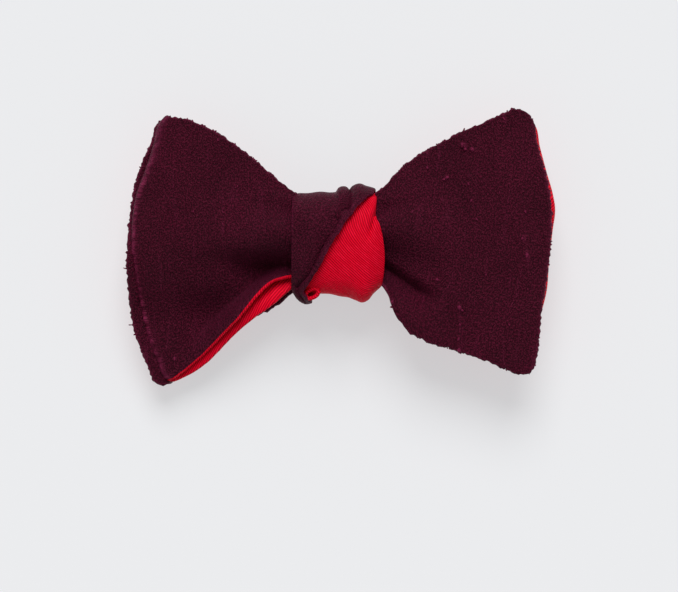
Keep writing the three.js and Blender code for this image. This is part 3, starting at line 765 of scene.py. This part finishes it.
def blade(name, surface, side, faceRows, relief, rowSteps=None, endRim=False, tilts=(0, 0), foldWearAndHighlight=None, lowLip=None):
    # A whole blade: face, lining and interlining, each its own piece. side is 1 where the face lies on the normal.
    lips = (cloth["lip"] if lowLip is None else lowLip, cloth["lip"])
    calm = 1.0 if lowLip is None else 0.3
    face = clothPly(name + "Face", surface, side, faceRows, 168, lips, endRim, relief, rowSteps, tilts[0], foldWearAndHighlight, calm)
    liningRows = None if rowSteps is None else rowSteps[::2]
    liningLips = [-lip - 0.04 for lip in lips]
    lining = clothPly(name + "Lining", surface, -side, faceRows // 2, 84, liningLips, endRim, None, liningRows,
                      tilts[1],
                      calm=calm)
    core = clothCore(name + "Interlining", surface, faceRows // 3, 40, endRim)
    return face, lining, core


def dressBlade(pieces, surface, body, bend, nodes, finishes):
    size = cutSize(surface)
    for piece, node, finish in zip(pieces, nodes, finishes):
        finishPiece(piece, finish, body, [node], bend)
        asCloth(piece, size)


def tufts(name, spots, seed):
    # Loose ends of thick thread standing out of a rim: place, direction, length and thickness in millimetres.
    points, quads, rings, sides = [], [], 6, 6
    for n, (place, direction, length, radius) in enumerate(spots):
        d = Vector(direction).normalized()
        side = d.cross(Vector((0, 0, 1))).normalized()
        up = side.cross(d)
        first = len(points)
        for i in range(rings):
            t = i / (rings - 1)
            curl = side * (length * 0.35 * t * t * float(lattice(n, 1, seed)))
            middle = Vector(place) + d * (length * (t - 0.25)) + curl
            r = radius * math.sqrt(max(1 - (2 * t - 1) ** 2, 0.04)) * (1 + 0.25 * float(lattice(n, i, seed + 1)))
            for j in range(sides):
                turn = 2 * math.pi * j / sides
                points.append(middle + (side * math.cos(turn) + up * math.sin(turn)) * r)
        for i in range(rings - 1):
            for j in range(sides):
                k = (j + 1) % sides
                low, high = first + i * sides, first + (i + 1) * sides
                quads.append([low + j, low + k, high + k, high + j])
        for ring in (first, first + (rings - 1) * sides):
            quads.append([ring, ring + 1, ring + 2, ring + 3])
            quads.append([ring, ring + 3, ring + 4, ring + 5])
    points = np.array(points)
    piece = meshPiece(name, points, quads, points[:, :2])
    faceOutward(piece)
    # thread ends and nubs are lightened towards the slub colour: part paler thread, part painted highlight
    markWearAndHighlight(piece, np.full(len(points), 0.8))
    return piece


def rimTufts(name, surface, count, seed, edges, extra=()):
    # A scatter of short ones along the edges, each (a from, a to, b), and any marked ones.
    spots = list(extra)
    for n in range(count):
        low, high, b = edges[n % len(edges)]
        a = low + (high - low) * (0.5 + 0.5 * float(lattice(n, 2, seed)))
        across = b if b is not None else float(lattice(n, 5, seed)) * 0.97
        place, inner = surface(np.array([a, a - 0.02]), np.array([across, across * 0.96]))
        direction = Vector(place - inner) + Vector((0, 0, 0.3 * float(lattice(n, 6, seed))))
        place = Vector(place) - direction.normalized() * 0.22
        spots.append((place, direction, 0.62 + 0.2 * float(lattice(n, 3, seed)),
                      0.25 + 0.07 * float(lattice(n, 4, seed))))
    return tufts(name, spots, seed)


def onFace(piece, marks, seed):
    # Hard knots in the weft, half sunk in a blade's face: each mark is x, y, length, thickness and lean.
    points = np.array([v.co for v in piece.data.vertices]) / metre
    spots = []
    for n, (x, y, length, radius, lean) in enumerate(marks):
        near = points[np.hypot(points[:, 0] - x, points[:, 1] - y) < 0.6]
        direction = Vector((lean, -1, 0.05 * float(lattice(n, 1, seed)))).normalized()
        place = Vector((x, y, near[:, 2].max() + radius * 0.5)) - direction * (length * 0.25)
        spots.append((place, direction, length, radius))
    return spots


def onRim(piece, marks):
    # Thread ends standing out of a rim: x and y of the place, the way they point, length and thickness.
    points = np.array([v.co for v in piece.data.vertices]) / metre
    spots = []
    for x, y, towards, length, radius in marks:
        place = points[np.argmin(np.hypot(points[:, 0] - x, points[:, 1] - y))]
        spots.append((Vector(place), Vector((*towards, 0.1)), length, radius))
    return spots


wingRows = {"front": 150, "turn": 16, "rear": 62}
leftBend = (-11.5, -16.5, 20.4)
rightBend = (11.0, 16.0, 20.4)


def leftWing():
    surface = loopSurface(leftFront, leftRear)
    rows = loopRows(wingRows["front"], wingRows["turn"], wingRows["rear"])
    # the loop's fold, round a of 0.535, gets a painted highlight as well as wear and a little unevenness
    loop = blade("frontLoop", surface, -1, len(rows), slubs(leftMarks, 50), rows, tilts=(0, 102),
                 foldWearAndHighlight=(0.535, 0.012), lowLip=-0.5)
    joinInto(loop[0], rimTufts("loopTufts", surface, 16, 55, [(0.1, 0.5, 1)], onFace(loop[0], leftNubs, 56)))
    tipSurface = leafSurface(leftTip)
    tip = blade("rearTip", tipSurface, -1, 120, slubs([], 60), endRim=True)
    marked = onRim(tip[0], [(-60.2, -6.4, (-1, -0.15), 1.3, 0.20), (-59.2, -22.2, (-1, -0.1), 1.2, 0.18),
                            (-57.9, -24.8, (-1, -0.6), 0.9, 0.22), (-56.6, 19.6, (-1, 0.4), 0.8, 0.22)])
    joinInto(tip[0], rimTufts("tipTufts", tipSurface, 14, 65, [(0.999, 1.0, None)], marked))
    body = "left_wing"
    dressBlade(loop, surface, body, leftBend, ["front_loop_face", "front_loop_lining", "front_loop_interlining"],
               [plumSilk, redTwill, wool])
    dressBlade(tip, tipSurface, body, leftBend, ["rear_tip_face", "rear_tip_lining", "rear_tip_interlining"],
               [plumSilk, redTwill, wool])


def rightWing():
    tipSurface = leafSurface(rightFront)
    tip = blade("frontTip", tipSurface, 1, 150, slubs(rightMarks, 70), endRim=True, tilts=(-6, -6))
    marked = onRim(tip[0], [(33.6, -30.2, (0.05, -1), 0.9, 0.42), (35.2, 33.2, (0, 1), 0.7, 0.24),
                            (60.2, 0.4, (1, 0), 0.6, 0.26), (14.2, -17.0, (-1, -0.4), 0.7, 0.34)])
    edges = [(0.08, 1.0, -1), (0.08, 1.0, 1), (0.999, 1.0, None)]
    joinInto(tip[0], rimTufts("tipTufts", tipSurface, 34, 75, edges, marked + onFace(tip[0], rightNubs, 76)))
    body = "right_wing"
    dressBlade(tip, tipSurface, body, rightBend, ["front_tip_face", "front_tip_lining", "front_tip_interlining"],
               [plumSilk, redTwill, wool])
    surface = loopSurface(rightRearA, rightRearB)
    rows = loopRows(90, wingRows["turn"], wingRows["rear"])
    loop = blade("rearLoop", surface, 1, len(rows), None, rows)
    dressBlade(loop, surface, body, rightBend, ["rear_loop_lining", "rear_loop_face", "rear_loop_interlining"],
               [redTwill, plumSilk, wool])


leftWing()
rightWing()
print("wings made")


knot = {
    "middleZ": 16.2,
    "crownZ": 23,  # height at which the front turns over the edges
    "square": 0.78,  # below 1 squares the section off, 1 leaves it round
    "under": {
        "turns": (-78, 258),
        "top": [(-13, 13.9), (-5, 14.3), (4, 14.5), (8, 14.6), (10.6, 14.2), (12.6, 12.0)],
        "bottom": [(-13, -11.6), (-9, -12.4), (-5.5, -12.6), (-2.7, -12.7), (0.5, -13.4), (2.6, -13.7), (4.7, -14.5),
                   (6.5, -15.1), (7.6, -14.6), (9.0, -12.9), (10.4, -11.6), (11.8, -10.4), (12.6, -9.8)],
        "front": [(-13, 5.4), (-6, 6.4), (0, 6.7), (6, 7.1), (10, 6.4), (12.6, 4.9)],
        "back": [(-13, 5.8), (0, 6.6), (12.6, 5.8)],
        "left": [(-16, -11.4), (16, -11.4)],
        "right": [(-16, 11.2), (-11.6, 11.3), (-9.8, 11.9), (-5.5, 12.5), (-1.2, 12.5), (3, 11.9), (6.7, 10.9),
                  (9.3, 9.9),
                  (10.3, 10.05), (14.7, 10.5), (16, 10.4)],
    },
    "over": {
        "turns": (-38, 208),
        "top": [(-13.2, 13.9), (-12, 14.3), (-8.9, 14.4), (-5.3, 14.8), (-2.2, 14.6), (-0.8, 14.8), (0.4, 16.2),
                (1.5, 16.3), (2.8, 15.2), (4, 16.5), (5.6, 17.1), (7.2, 16.5), (9.6, 15.7), (10.6, 15.0)],
        "bottom": [(-13.2, -11.6), (-12.4, -12.9), (-11.6, -14.2), (-10.4, -15.2), (-9.2, -15.6), (-8.0, -15.2),
                   (-6, -14.2)],
        "front": [(-13.2, 6.7), (-8, 8.3), (0, 8.7), (6, 8.5), (10.6, 7.4)],
        "back": [(-13.2, 7.0), (0, 7.4), (10.6, 7.0)],
        "left": [(-16, -13.0), (-12, -13.2), (12, -13.2), (16, -13.0)],
        "right": [(-16, -7.4), (-15.0, -7.8), (-14.2, -8.8), (-13.0, -9.9), (-11.4, -9.3), (-8.4, -7.4), (-5, -5.2),
                  (-1, -3.1),
                  (3, -0.7), (5.9, 1.1), (8.9, 3.3), (11.9, 5.9), (13.9, 8.2), (15.5, 10.3), (18, 10.7)],
    },
    "crease": [(-14, 1.2), (-5, 1.5), (5, 1.7), (9, 2.2), (11, 2.7), (14, 4.5), (16, 5.2)],
}


def power(value, exponent):
    return np.sign(value) * np.abs(value) ** exponent


def wrapSurface(part, height):
    # a goes round the waist from the back, over the top and down the front; b goes from the left edge to the right.
    start, finish = (math.radians(t) for t in part["turns"])

    def surface(a, b):
        turn = start + (finish - start) * a
        c, s = power(np.cos(turn), knot["square"]), power(np.sin(turn), knot["square"])

        def yAt(x):
            top, bottom = profile(part["top"], x), profile(part["bottom"], x)
            return (top + bottom) / 2 + (top - bottom) / 2 * c

        waver = noise(turn * 1.9, 0 * turn, 96) * (0.12 + 0.35 * smoothStep(0.3, -0.5, np.sin(turn)))
        left = right = np.zeros_like(a)
        for _ in range(4):
            left, right = profile(part["left"], yAt(left)) + waver, profile(part["right"], yAt(right))
        x = left + (right - left) * (b + 1) / 2
        y = yAt(x)
        depth = np.where(s > 0, profile(part["front"], x), profile(part["back"], x))
        z = knot["middleZ"] + depth * s + height(x, y, right) * np.clip(s * 1.6, 0, 1)
        return np.stack([x, y, z], -1)

    return surface


def overHeight(x, y, edge):
    fromEdge = (edge - x) * 0.81
    crease = profile(knot["crease"], y)
    z = -1.25 * np.exp(-(((fromEdge - crease) / 0.5) ** 2)) * (1.15 - 0.65 * smoothStep(-2, 9, y))
    z -= 0.75 * np.exp(-(((fromEdge - crease) / 2.2) ** 2)) * (fromEdge > crease)
    z -= 0.75 * (fromEdge <= crease) * smoothStep(0, 1, fromEdge / crease)
    z += 0.4 * np.exp(-(((fromEdge - crease * 0.45) / (crease * 0.4)) ** 2))
    z += fold(x, y, (1.2, 17), (-0.6, 10.5), (0.9, 1.2), 0.7, (0.3, 0.7))
    z += fold(x, y, (-12, 11), (-4, 2), (2.0, 3.0), 0.25) + fold(x, y, (-12, -2), (-7, -9), (2, 2), 0.3)
    return z + 0.10 * noise(x / 3.2, y / 3.4, 91)


def underHeight(x, y, edge):
    z = fold(x, y, (10.1, 10.1), (8.4, 2.4), (0.42, 0.85), -1.7, (0.2, 0.6), 0.4)
    z += fold(x, y, (9.0, 13.5), (8.2, 5.5), (0.8, 1.0), 0.45, (0.3, 0.5))
    z += fold(x, y, (11.2, 8.0), (11.6, -4), (0.8, 1.8), 0.35, (0.3, 0.6))
    z += fold(x, y, (4, -14.5), (-1, -10.5), (1.1, 1.6), -0.5, (0.3, 0.7)) + fold(x, y, (7, -15.5), (5, -9),
                                                                                  (1.6, 2), 0.3)
    return z + 0.08 * noise(x / 3.0, y / 3.6, 92)


def turnedThreads(piece, low, high, span):
    # The strip leans as it crosses the knot, so its threads turn from low to high degrees over the span of y.
    mesh = piece.data
    points = np.empty(len(mesh.vertices) * 3)
    mesh.vertices.foreach_get("co", points)
    points = points.reshape(-1, 3) / metre
    y = points[:, 1]
    turn = np.radians(low + (high - low) * smoothStep(span[0], span[1], y))
    u = points[:, 0] * np.cos(turn) + y * np.sin(turn)
    overEdge = (knot["crownZ"] - points[:, 2]) * np.sign(y) * smoothStep(6, 13, np.abs(y))
    v = y * np.cos(turn) - points[:, 0] * np.sin(turn) + overEdge
    index = np.empty(len(mesh.loops), int)
    mesh.loops.foreach_get("vertex_index", index)
    mesh.uv_layers["weave"].data.foreach_set("uv", np.stack([u, v], -1)[index].ravel())


curl = {
    "middle": (-7.75, -13.25),
    "root": (-7.0, -10.8),
    "outer": (2.55, 1.75),
    "hole": (1.25, 0.55),
    "top": 20.9,
    "foot": 14.6,
    "lean": 24,
}


def knotCurl():
    # The folded edge ends in a small roll of the lining, seen from its open end. Its inside runs out on the right.
    middle, root, outer, hole, top, foot = (curl[k] for k in ("middle", "root", "outer", "hole", "top", "foot"))
    rows, columns = 30, 64
    s = np.linspace(0, 1, rows)[:, None]
    turn = np.linspace(0, 2 * math.pi, columns + 1)[None, :-1]
    lip = np.clip((s - 0.36) / 0.39, 0, 1)
    radius = 1 - 0.5 * (1 - np.cos(lip * math.pi))
    grown = np.sqrt(np.clip(s / 0.36, 0.03, 1))
    rx = (hole[0] + (outer[0] - hole[0]) * radius) * grown
    ry = (hole[1] + (outer[1] - hole[1]) * radius) * grown
    z = np.where(s < 0.36, foot + (top - foot - 1) * s / 0.36, top - 1 + 0.9 * np.sin(lip * math.pi))
    depth = 2.1 - 1.6 * np.cos(turn)
    z = np.where(s > 0.75, top - 1 - depth * (s - 0.75) / 0.25, z)
    wobble = 1 + 0.05 * noise(turn * 1.3 + 0 * s, s * 3, 95)
    lean = math.radians(curl["lean"])
    x0, y0 = rx * np.cos(turn) * wobble, ry * np.sin(turn) * wobble
    x = root[0] + (middle[0] - root[0]) * grown + x0 * math.cos(lean) - y0 * math.sin(lean)
    y = root[1] + (middle[1] - root[1]) * grown + x0 * math.sin(lean) + y0 * math.cos(lean)
    z = z - 0.22 * (y - middle[1]) + 0 * turn
    points = np.stack([x, y, z], -1).reshape(-1, 3)
    i, j = np.meshgrid(np.arange(rows - 1), np.arange(columns), indexing="ij")
    k = (j + 1) % columns
    quads = np.stack([i * columns + j, i * columns + k, (i + 1) * columns + k, (i + 1) * columns + j],
                     -1).reshape(-1, 4)
    uv = np.stack([turn * 2.0 + 0 * s, s * 9 + 0 * turn], -1).reshape(-1, 2)
    piece = meshPiece("knotCurl", points, quads, uv)
    lastRing = (rows - 1) * columns
    faceOutward(piece, [range(columns - 1, -1, -1), range(lastRing, lastRing + columns)])
    return piece


waistSpan = {"x": (-12.3, 11.6), "y": (-10.6, 12.9)}


def waistBundle(name, low, high, seed):
    # The blade's own waist, gathered into pleats inside the knot.
    x, y = np.linspace(*waistSpan["x"], 50), np.linspace(*waistSpan["y"], 120)
    x2, y2 = np.meshgrid(x, y, indexing="ij")
    across = (y2 - y[0]) / (y[-1] - y[0])
    roundness = np.sqrt(np.clip(1 - (2 * across - 1) ** 2, 0.02, 1))
    pleat = 0.35 * np.sin(y2 * 2.1 + 0.6 * noise(x2 / 4, y2 / 5, seed) * 3)
    middle = (low + high) / 2
    half = (high - low) / 2 - 0.4
    upper = middle + half * roundness + pleat * roundness
    lower = middle - half * roundness + pleat * roundness * 0.5
    points = [np.stack([x2, y2, z], -1) for z in (upper, lower)]
    return closedSkin(name, points[0], points[1], threadCoordinates(points[0]))


def makeKnot():
    # Red half first, then the plum half folded over it, then what is inside.
    under = wrapSurface(knot["under"], underHeight)
    over = wrapSurface(knot["over"], overHeight)
    redFace = clothPly("knotUnderTwill", under, 1, 300, 120, (0.5, 0.5))
    redBack = clothPly("knotUnderSilk", under, -1, 120, 50, (-0.54, -0.54))
    redCore = clothCore("knotUnderInterlining", under, 90, 24, margin=1.5)
    plumFace = clothPly("knotOverSilk", over, 1, 300, 110, (1.1, 1.1), relief=slubs([], 80, 0.05))
    plumBack = clothPly("knotOverTwill", over, -1, 120, 50, (-1.14, -1.14))
    plumCore = clothCore("knotOverInterlining", over, 90, 24, margin=2.0)
    joinInto(redFace, knotCurl())
    turnedThreads(redFace, 2, -26, (-8, 12))
    turnedThreads(plumFace, -36, -36, (-8, 12))
    wraps = [
        ([redFace, redBack, redCore], under, [redTwill, plumSilk, wool], ["twill_silk", "raw_silk", "wool_interlining"],
         ["knot_under_twill", "knot_under_silk", "knot_under_interlining"]),
        ([plumFace, plumBack, plumCore], over, [plumSilk, redTwill, wool],
         ["raw_silk", "twill_silk", "wool_interlining"],
         ["knot_over_silk", "knot_over_twill", "knot_over_interlining"]),
    ]
    for pieces, surface, finishes, slotNames, nodes in wraps:
        size = cutSize(surface)
        for piece, finish, slotName, node in zip(pieces, finishes, slotNames, nodes):
            finishPiece(piece, finish, rootBody, [node])
            asCloth(piece, size)
    for name, low, high, seed, node in (("frontWaist", 16.3, 21.2, 97, "front_waist"),
                                        ("rearWaist", 11.2, 16.2, 98, "rear_waist")):
        waist = waistBundle(name, low, high, seed)
        finishPiece(waist, plumSilk, rootBody, [node])


makeKnot()
print("knot made")


band = {"width": 16.0, "thick": 1.0, "middleY": 0.5}
tape = {"width": 14.0, "thick": 0.6, "rib": 0.55}
runHeights = {"first": 7.4, "second": 6.05, "third": 4.7, "rightReturn": 3.3, "lowest": 0.5}
metal = {"bevel": 0.16, "bevelSteps": 3}


def trace(start, moves, step=0.4):
    # The side view of a strip, in X and Z: straight runs, half turns, arcs and free curves.
    points = [np.array([start], float)]
    for kind, *rest in moves:
        x, z = points[-1][-1]
        if kind == "run":
            length = math.hypot(rest[0] - x, rest[1] - z)
            count = max(2, math.ceil(length / step) + 1)
            line = np.stack([np.linspace(x, rest[0], count), np.linspace(z, rest[1], count)], -1)
        elif kind == "turn":
            toZ, side = rest
            radius = abs(toZ - z) / 2
            angle = np.linspace(math.pi / 2, -math.pi / 2, 13) * np.sign(z - toZ)
            line = np.stack([x + side * radius * np.cos(angle), (z + toZ) / 2 + radius * np.sin(angle)], -1)
        elif kind == "arc":
            cx, cz, radius, low, high = rest
            angle = np.radians(np.linspace(low, high, 7))
            line = np.stack([cx + radius * np.cos(angle), cz + radius * np.sin(angle)], -1)
        else:
            line = curveThrough([(x, z), *rest], np.linspace(0, 1, 28))
        points.append(line[1:] if np.allclose(line[0], (x, z), atol=1e-6) else line)
    return np.concatenate(points)


def stripPiece(name, line, size, relief, seed):
    # A flat strip that follows a side view, with rounded rims and ends.
    width, half = size["width"], size["thick"] / 2
    middleY = band["middleY"]
    step = np.linalg.norm(np.diff(line, axis=0), axis=1)
    along = np.concatenate([[0], np.cumsum(step)])
    rim = half * np.array([0, 0.12, 0.35, 0.65, 1.0, 1.6])
    ends = half * np.array([0, 0.15, 0.45, 1.0])
    inside = np.linspace(rim[-1], width - rim[-1], 34)[1:-1]
    across = np.concatenate([rim, inside, width - rim[::-1]])
    inner = along[(along > ends[-1] * 1.3) & (along < along[-1] - ends[-1] * 1.3)]
    stations = np.concatenate([ends, inner, along[-1] - ends[::-1]])
    x, z = np.interp(stations, along, line[:, 0]), np.interp(stations, along, line[:, 1])
    tangent = np.stack([np.interp(stations, along, np.gradient(line[:, k], along)) for k in (0, 1)], -1)
    tangent /= np.linalg.norm(tangent, axis=1, keepdims=True)
    s2, v2 = np.meshgrid(stations, across, indexing="ij")
    nearest = np.minimum(np.minimum(v2, width - v2), np.minimum(s2, along[-1] - s2))
    thick = np.maximum(half * np.sqrt(1 - (1 - np.minimum(nearest / half, 1)) ** 2), 0.02)
    y = middleY - width / 2 + v2 + 0.10 * noise(s2 / 7, v2 * 0, seed)
    coarse = noise(s2 / 0.6, v2 / 0.9, seed + 1) + noise(s2 / 1.7, v2 / 2.6, seed + 2)
    bumps = relief * coarse * smoothStep(0, half, nearest)
    sides = []
    for sign in (1, -1):
        rise = (thick + bumps * 0.5) * sign
        sides.append(np.stack([x[:, None] - tangent[:, 1:] * rise, y, z[:, None] + tangent[:, :1] * rise], -1))
    uv = np.stack([s2, v2 - width / 2], -1)
    piece = closedSkin(name, sides[0], sides[1], uv)
    # painted highlight and wear: the strip's rims are lightened towards the slub colour
    wearAndHighlight = 0.5 * np.exp(-((nearest / 0.4) ** 2)) * (0.5 + 0.6 * noise(s2 / 0.8, v2 / 0.8, seed + 3))
    markWearAndHighlight(piece, np.tile(wearAndHighlight.ravel(), 2))
    return piece, float(along[-1])


stitch = {"share": 0.72, "radius": 0.13}  # length as a share of the pitch, and half the thread's thickness


def stitchRow(name, start, end, up, count):
    # A row of short stitches on a surface, each standing up a little and sinking in at both ends.
    start, end, up = Vector(start), Vector(end), Vector(up)
    pitch = (end - start) / count
    spots = []
    for n in range(count):
        spots.append((start + pitch * (n + 0.35) + up * 0.02, pitch, pitch.length * stitch["share"], stitch["radius"]))
    return tufts(name, spots, 3)


def satinTape(name):
    f = Finish(name, Specular_IOR_Level=0.35, Sheen_Weight=0.05, Sheen_Roughness=0.35, Sheen_Tint=(0.6, 0.2, 0.3, 1))
    u, v, _ = f.threads()
    rib = (u * (2 * math.pi / tape["rib"])).sin() * 0.5 + 0.5
    yarn = f.speckle(u * 1.2, v * 0.16, 2, 0.6, 3.0).between(0.3, 0.7)
    cross = f.speckle(u * 0.3, v * 3.2, 2, 0.6, 8.0).between(0.3, 0.7)
    edge = v.size().between(tape["width"] / 2 - 1.0, tape["width"] / 2 - 0.8)
    tone = rib * 0.45 + yarn * 0.2 + cross * 0.25
    colour = f.mix(tone, (0.0060, 0.0012, 0.0026, 1), (0.0420, 0.0075, 0.0160, 1))
    colour = f.mix(edge * 0.45, colour, (0.060, 0.012, 0.024, 1))
    height = rib + yarn * 0.3 + cross * 0.3 + edge * 0.5
    return f.wear(Base_Color=colour, Normal=f.bump(height, 0.00010), Roughness=0.42 + cross * 0.15)


def nickelPlate(name):
    f = Finish(name, Metallic=1.0, Specular_IOR_Level=0.5)
    place = f.node("ShaderNodeTexCoord", out=3)
    scaled = f.node("ShaderNodeVectorMath", {"operation": "MULTIPLY"}, {0: place, 1: (900.0, 130.0, 900.0)})
    brush = f.node("ShaderNodeTexNoise", None, {"Vector": scaled, "Scale": 1.0, "Detail": 3.0, "Roughness": 0.6})
    cloudPlace = f.node("ShaderNodeVectorMath", {"operation": "MULTIPLY"}, {0: place, 1: (260.0, 260.0, 260.0)})
    cloud = f.node("ShaderNodeTexNoise", None, {"Vector": cloudPlace, "Scale": 1.0, "Detail": 4.0, "Roughness": 0.65})
    tarnish = cloud.between(0.45, 0.75)
    colour = f.mix(tarnish * 0.5, (0.64, 0.62, 0.59, 1), (0.42, 0.38, 0.33, 1))
    rough = brush.between(0.3, 0.7) * 0.12 + tarnish * 0.16 + 0.20
    return f.wear(Base_Color=colour, Roughness=rough, Normal=f.bump(brush + cloud * 0.5, 0.00003))


def sewingThread(name):
    f = Finish(name, Specular_IOR_Level=0.2, Sheen_Weight=0.05)
    u, v, _ = f.threads()
    ply = f.speckle(u * 5.0, v * 5.0, 2, 0.6, 2.0).between(0.3, 0.7)
    colour = f.mix(ply, (0.018, 0.002, 0.006, 1), (0.110, 0.012, 0.032, 1))
    return f.wear(Base_Color=colour, Roughness=0.6, Normal=f.bump(ply, 0.00005))


def bevelled(node, name, body, material):
    # The same shape as the frame's own, with its edges broken as plated stampings have them.
    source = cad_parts[node]
    piece = bpy.data.objects.new(name, source.data.copy())
    bpy.context.collection.objects.link(piece)
    tidy = bmesh.new()
    tidy.from_mesh(piece.data)
    bmesh.ops.remove_doubles(tidy, verts=tidy.verts, dist=1e-6)
    bmesh.ops.dissolve_limit(tidy, angle_limit=math.radians(1.5), verts=tidy.verts, edges=tidy.edges)
    tidy.to_mesh(piece.data)
    tidy.free()
    if "custom_normal" in piece.data.attributes:
        piece.data.attributes.remove(piece.data.attributes["custom_normal"])
    for face in piece.data.polygons:
        face.use_smooth = True
    edge = piece.modifiers.new("edges", "BEVEL")
    edge.width, edge.segments = metal["bevel"] * metre, metal["bevelSteps"]
    edge.limit_method, edge.angle_limit = "ANGLE", math.radians(35)
    edge.harden_normals = True
    graph = bpy.context.evaluated_depsgraph_get()
    piece.data = bpy.data.meshes.new_from_object(piece.evaluated_get(graph))
    piece.modifiers.clear()
    return finishPiece(piece, material, body, [node])


def neckbands():
    left = trace((-3, runHeights["first"]), [
        ("run", -44, runHeights["first"]), ("turn", runHeights["second"], -1),
        ("run", 33, runHeights["second"]), ("turn", runHeights["third"], 1),
        ("run", -10, runHeights["third"]),
    ])
    right = trace((3, runHeights["first"]), [
        ("run", 36, runHeights["first"]), ("turn", runHeights["rightReturn"], 1),
        ("run", 5, runHeights["rightReturn"]), ("turn", runHeights["lowest"], -1),
        ("run", 46, runHeights["lowest"]), ("turn", 3.2, 1), ("run", 41.5, 1.65),
    ])
    for name, line, node, rest in (("neckbandLeft", left, "neckband_left", "neckbandRight"),
                                   ("neckbandRight", right, "neckband_right", "floor")):
        piece, length = stripPiece(name, line, band, 0.05, 110 + len(node))
        finishPiece(piece, plumSilk, rootBody, [node])
        width = band["width"] * metre
        asCloth(piece, (width, length * metre, width * length * metre))


def adjuster(tapeCloth):
    sewn, length = stripPiece("adjusterTape", trace((1, 3.8), [("run", -11, 3.8), ("run", -16.4, 1.25)]), tape, 0.02,
                              130)
    finishPiece(sewn, tapeCloth, "slide_unit", ["adjuster_tape"], (-4, -16.2, 2.0))
    width = tape["width"] * metre
    asCloth(sewn, (width, length * metre, width * length * metre))
    bar = -24.0
    loop = trace((-16.7, 1.05), [
        ("run", bar + 2.9, 1.05),
        ("curve", (bar + 2.1, 2), (bar + 1.7, 3.25), (bar, 3.65), (bar - 1.7, 3.25), (bar - 2.1, 2), (bar - 2.9, 1.05)),
        ("run", bar - 5.6, 1.05), ("run", -41, 2.8), ("run", -45, 2.8), ("turn", 0.3, -1), ("run", bar + 0.65, 0.3),
        ("arc", bar + 0.65, 0.9, 0.6, -90, 0), ("arc", bar + 0.65, 2.3, 0.6, 0, 90),
        ("arc", bar - 0.65, 2.3, 0.6, 90, 180),
        ("run", bar - 1.25, 1.05),
    ])
    bight, length = stripPiece("adjusterTapeBight", loop, tape, 0.01, 140)
    finishPiece(bight, tapeCloth, "slide_unit", ["adjuster_tape_bight"])
    asCloth(bight, (width, length * metre, width * length * metre))


def sewing(thread):
    rows = [
        ("eyeEndStitches", (43.4, -6.6, 2.79), (43.4, 7.6, 2.79), (-0.33, 0, 0.94), 9),
        ("tapeEndStitches", (-9.0, -5.4, 3.49), (-9.0, 6.4, 3.49), (0, 0, -1), 8),
        ("tapeRearStitches", (-1.2, -5.4, 3.49), (-1.2, 6.4, 3.49), (0, 0, -1), 8),
    ]
    for name, start, end, up, count in rows:
        finishPiece(stitchRow(name, start, end, up, count), thread, rootBody)


neckbands()
adjuster(satinTape("satin adjuster tape"))
sewing(sewingThread("plum sewing thread"))
nickel = nickelPlate("tarnished nickel plate")
bevelled("slide", "slideFrame", "slide_unit", nickel)
bevelled("hook", "hookPlate", "hook_unit", nickel)
bevelled("eye", "eyeLoop", "eye_unit", nickel)
print("neckband, adjuster and metal made")


view = {"middle": (-0.14, -13.9), "width": 190.5, "height": 900.0, "subject": 17.0, "sensor": 36.0}
light = {
    "key": 2.62,  # strength of the soft lamp, which stands beyond the bow's top edge
    "keyHeight": 47,  # degrees above the floor
    "keySpread": 36,  # degrees across
    "sky": 0.40,
    "floor": -0.0001,  # a hair under the lowest cloth
    "paper": (0.330, 0.333, 0.340, 1),
    "glow": (0.500, 0.504, 0.514, 1),  # the floor is lit a little from beneath, which thins the shadows
}


def stageFloor():
    bpy.ops.mesh.primitive_plane_add(size=8)
    floor = bpy.context.object
    floor.name = "floor"
    floor.location.z = light["floor"]
    paper = Finish("pale paper", Roughness=0.9, Specular_IOR_Level=0.0, Base_Color=light["paper"],
                   Emission_Color=light["glow"], Emission_Strength=1.0)
    floor.data.materials.append(paper.material)


def stageLights():
    world = bpy.data.worlds.new("studio")
    bpy.context.scene.world = world
    world.use_nodes = True
    sky = next(n for n in world.node_tree.nodes if n.type == "BACKGROUND")
    sky.inputs[0].default_value = (1, 1, 1, 1)
    sky.inputs[1].default_value = light["sky"]
    lamp = bpy.data.lights.new("softbox", "SUN")
    lamp.energy = light["key"]
    lamp.angle = math.radians(light["keySpread"])
    key = bpy.data.objects.new("softbox", lamp)
    height = math.radians(light["keyHeight"])
    toKey = Vector((0, math.cos(height), math.sin(height)))
    key.rotation_euler = toKey.to_track_quat("Z", "Y").to_euler()
    bpy.context.collection.objects.link(key)


def stageCamera():
    lens = bpy.data.cameras.new("camera")
    lens.sensor_width = view["sensor"]
    lens.lens = view["sensor"] * (view["height"] - view["subject"]) / view["width"]
    lens.clip_start, lens.clip_end = 0.05, 10
    camera = bpy.data.objects.new("camera", lens)
    camera.location = (view["middle"][0] * metre, view["middle"][1] * metre, view["height"] * metre)
    bpy.context.collection.objects.link(camera)
    bpy.context.scene.camera = camera


stageFloor()
stageLights()
stageCamera()
bpy.context.scene.view_settings.view_transform = "Standard"
print("stage set")
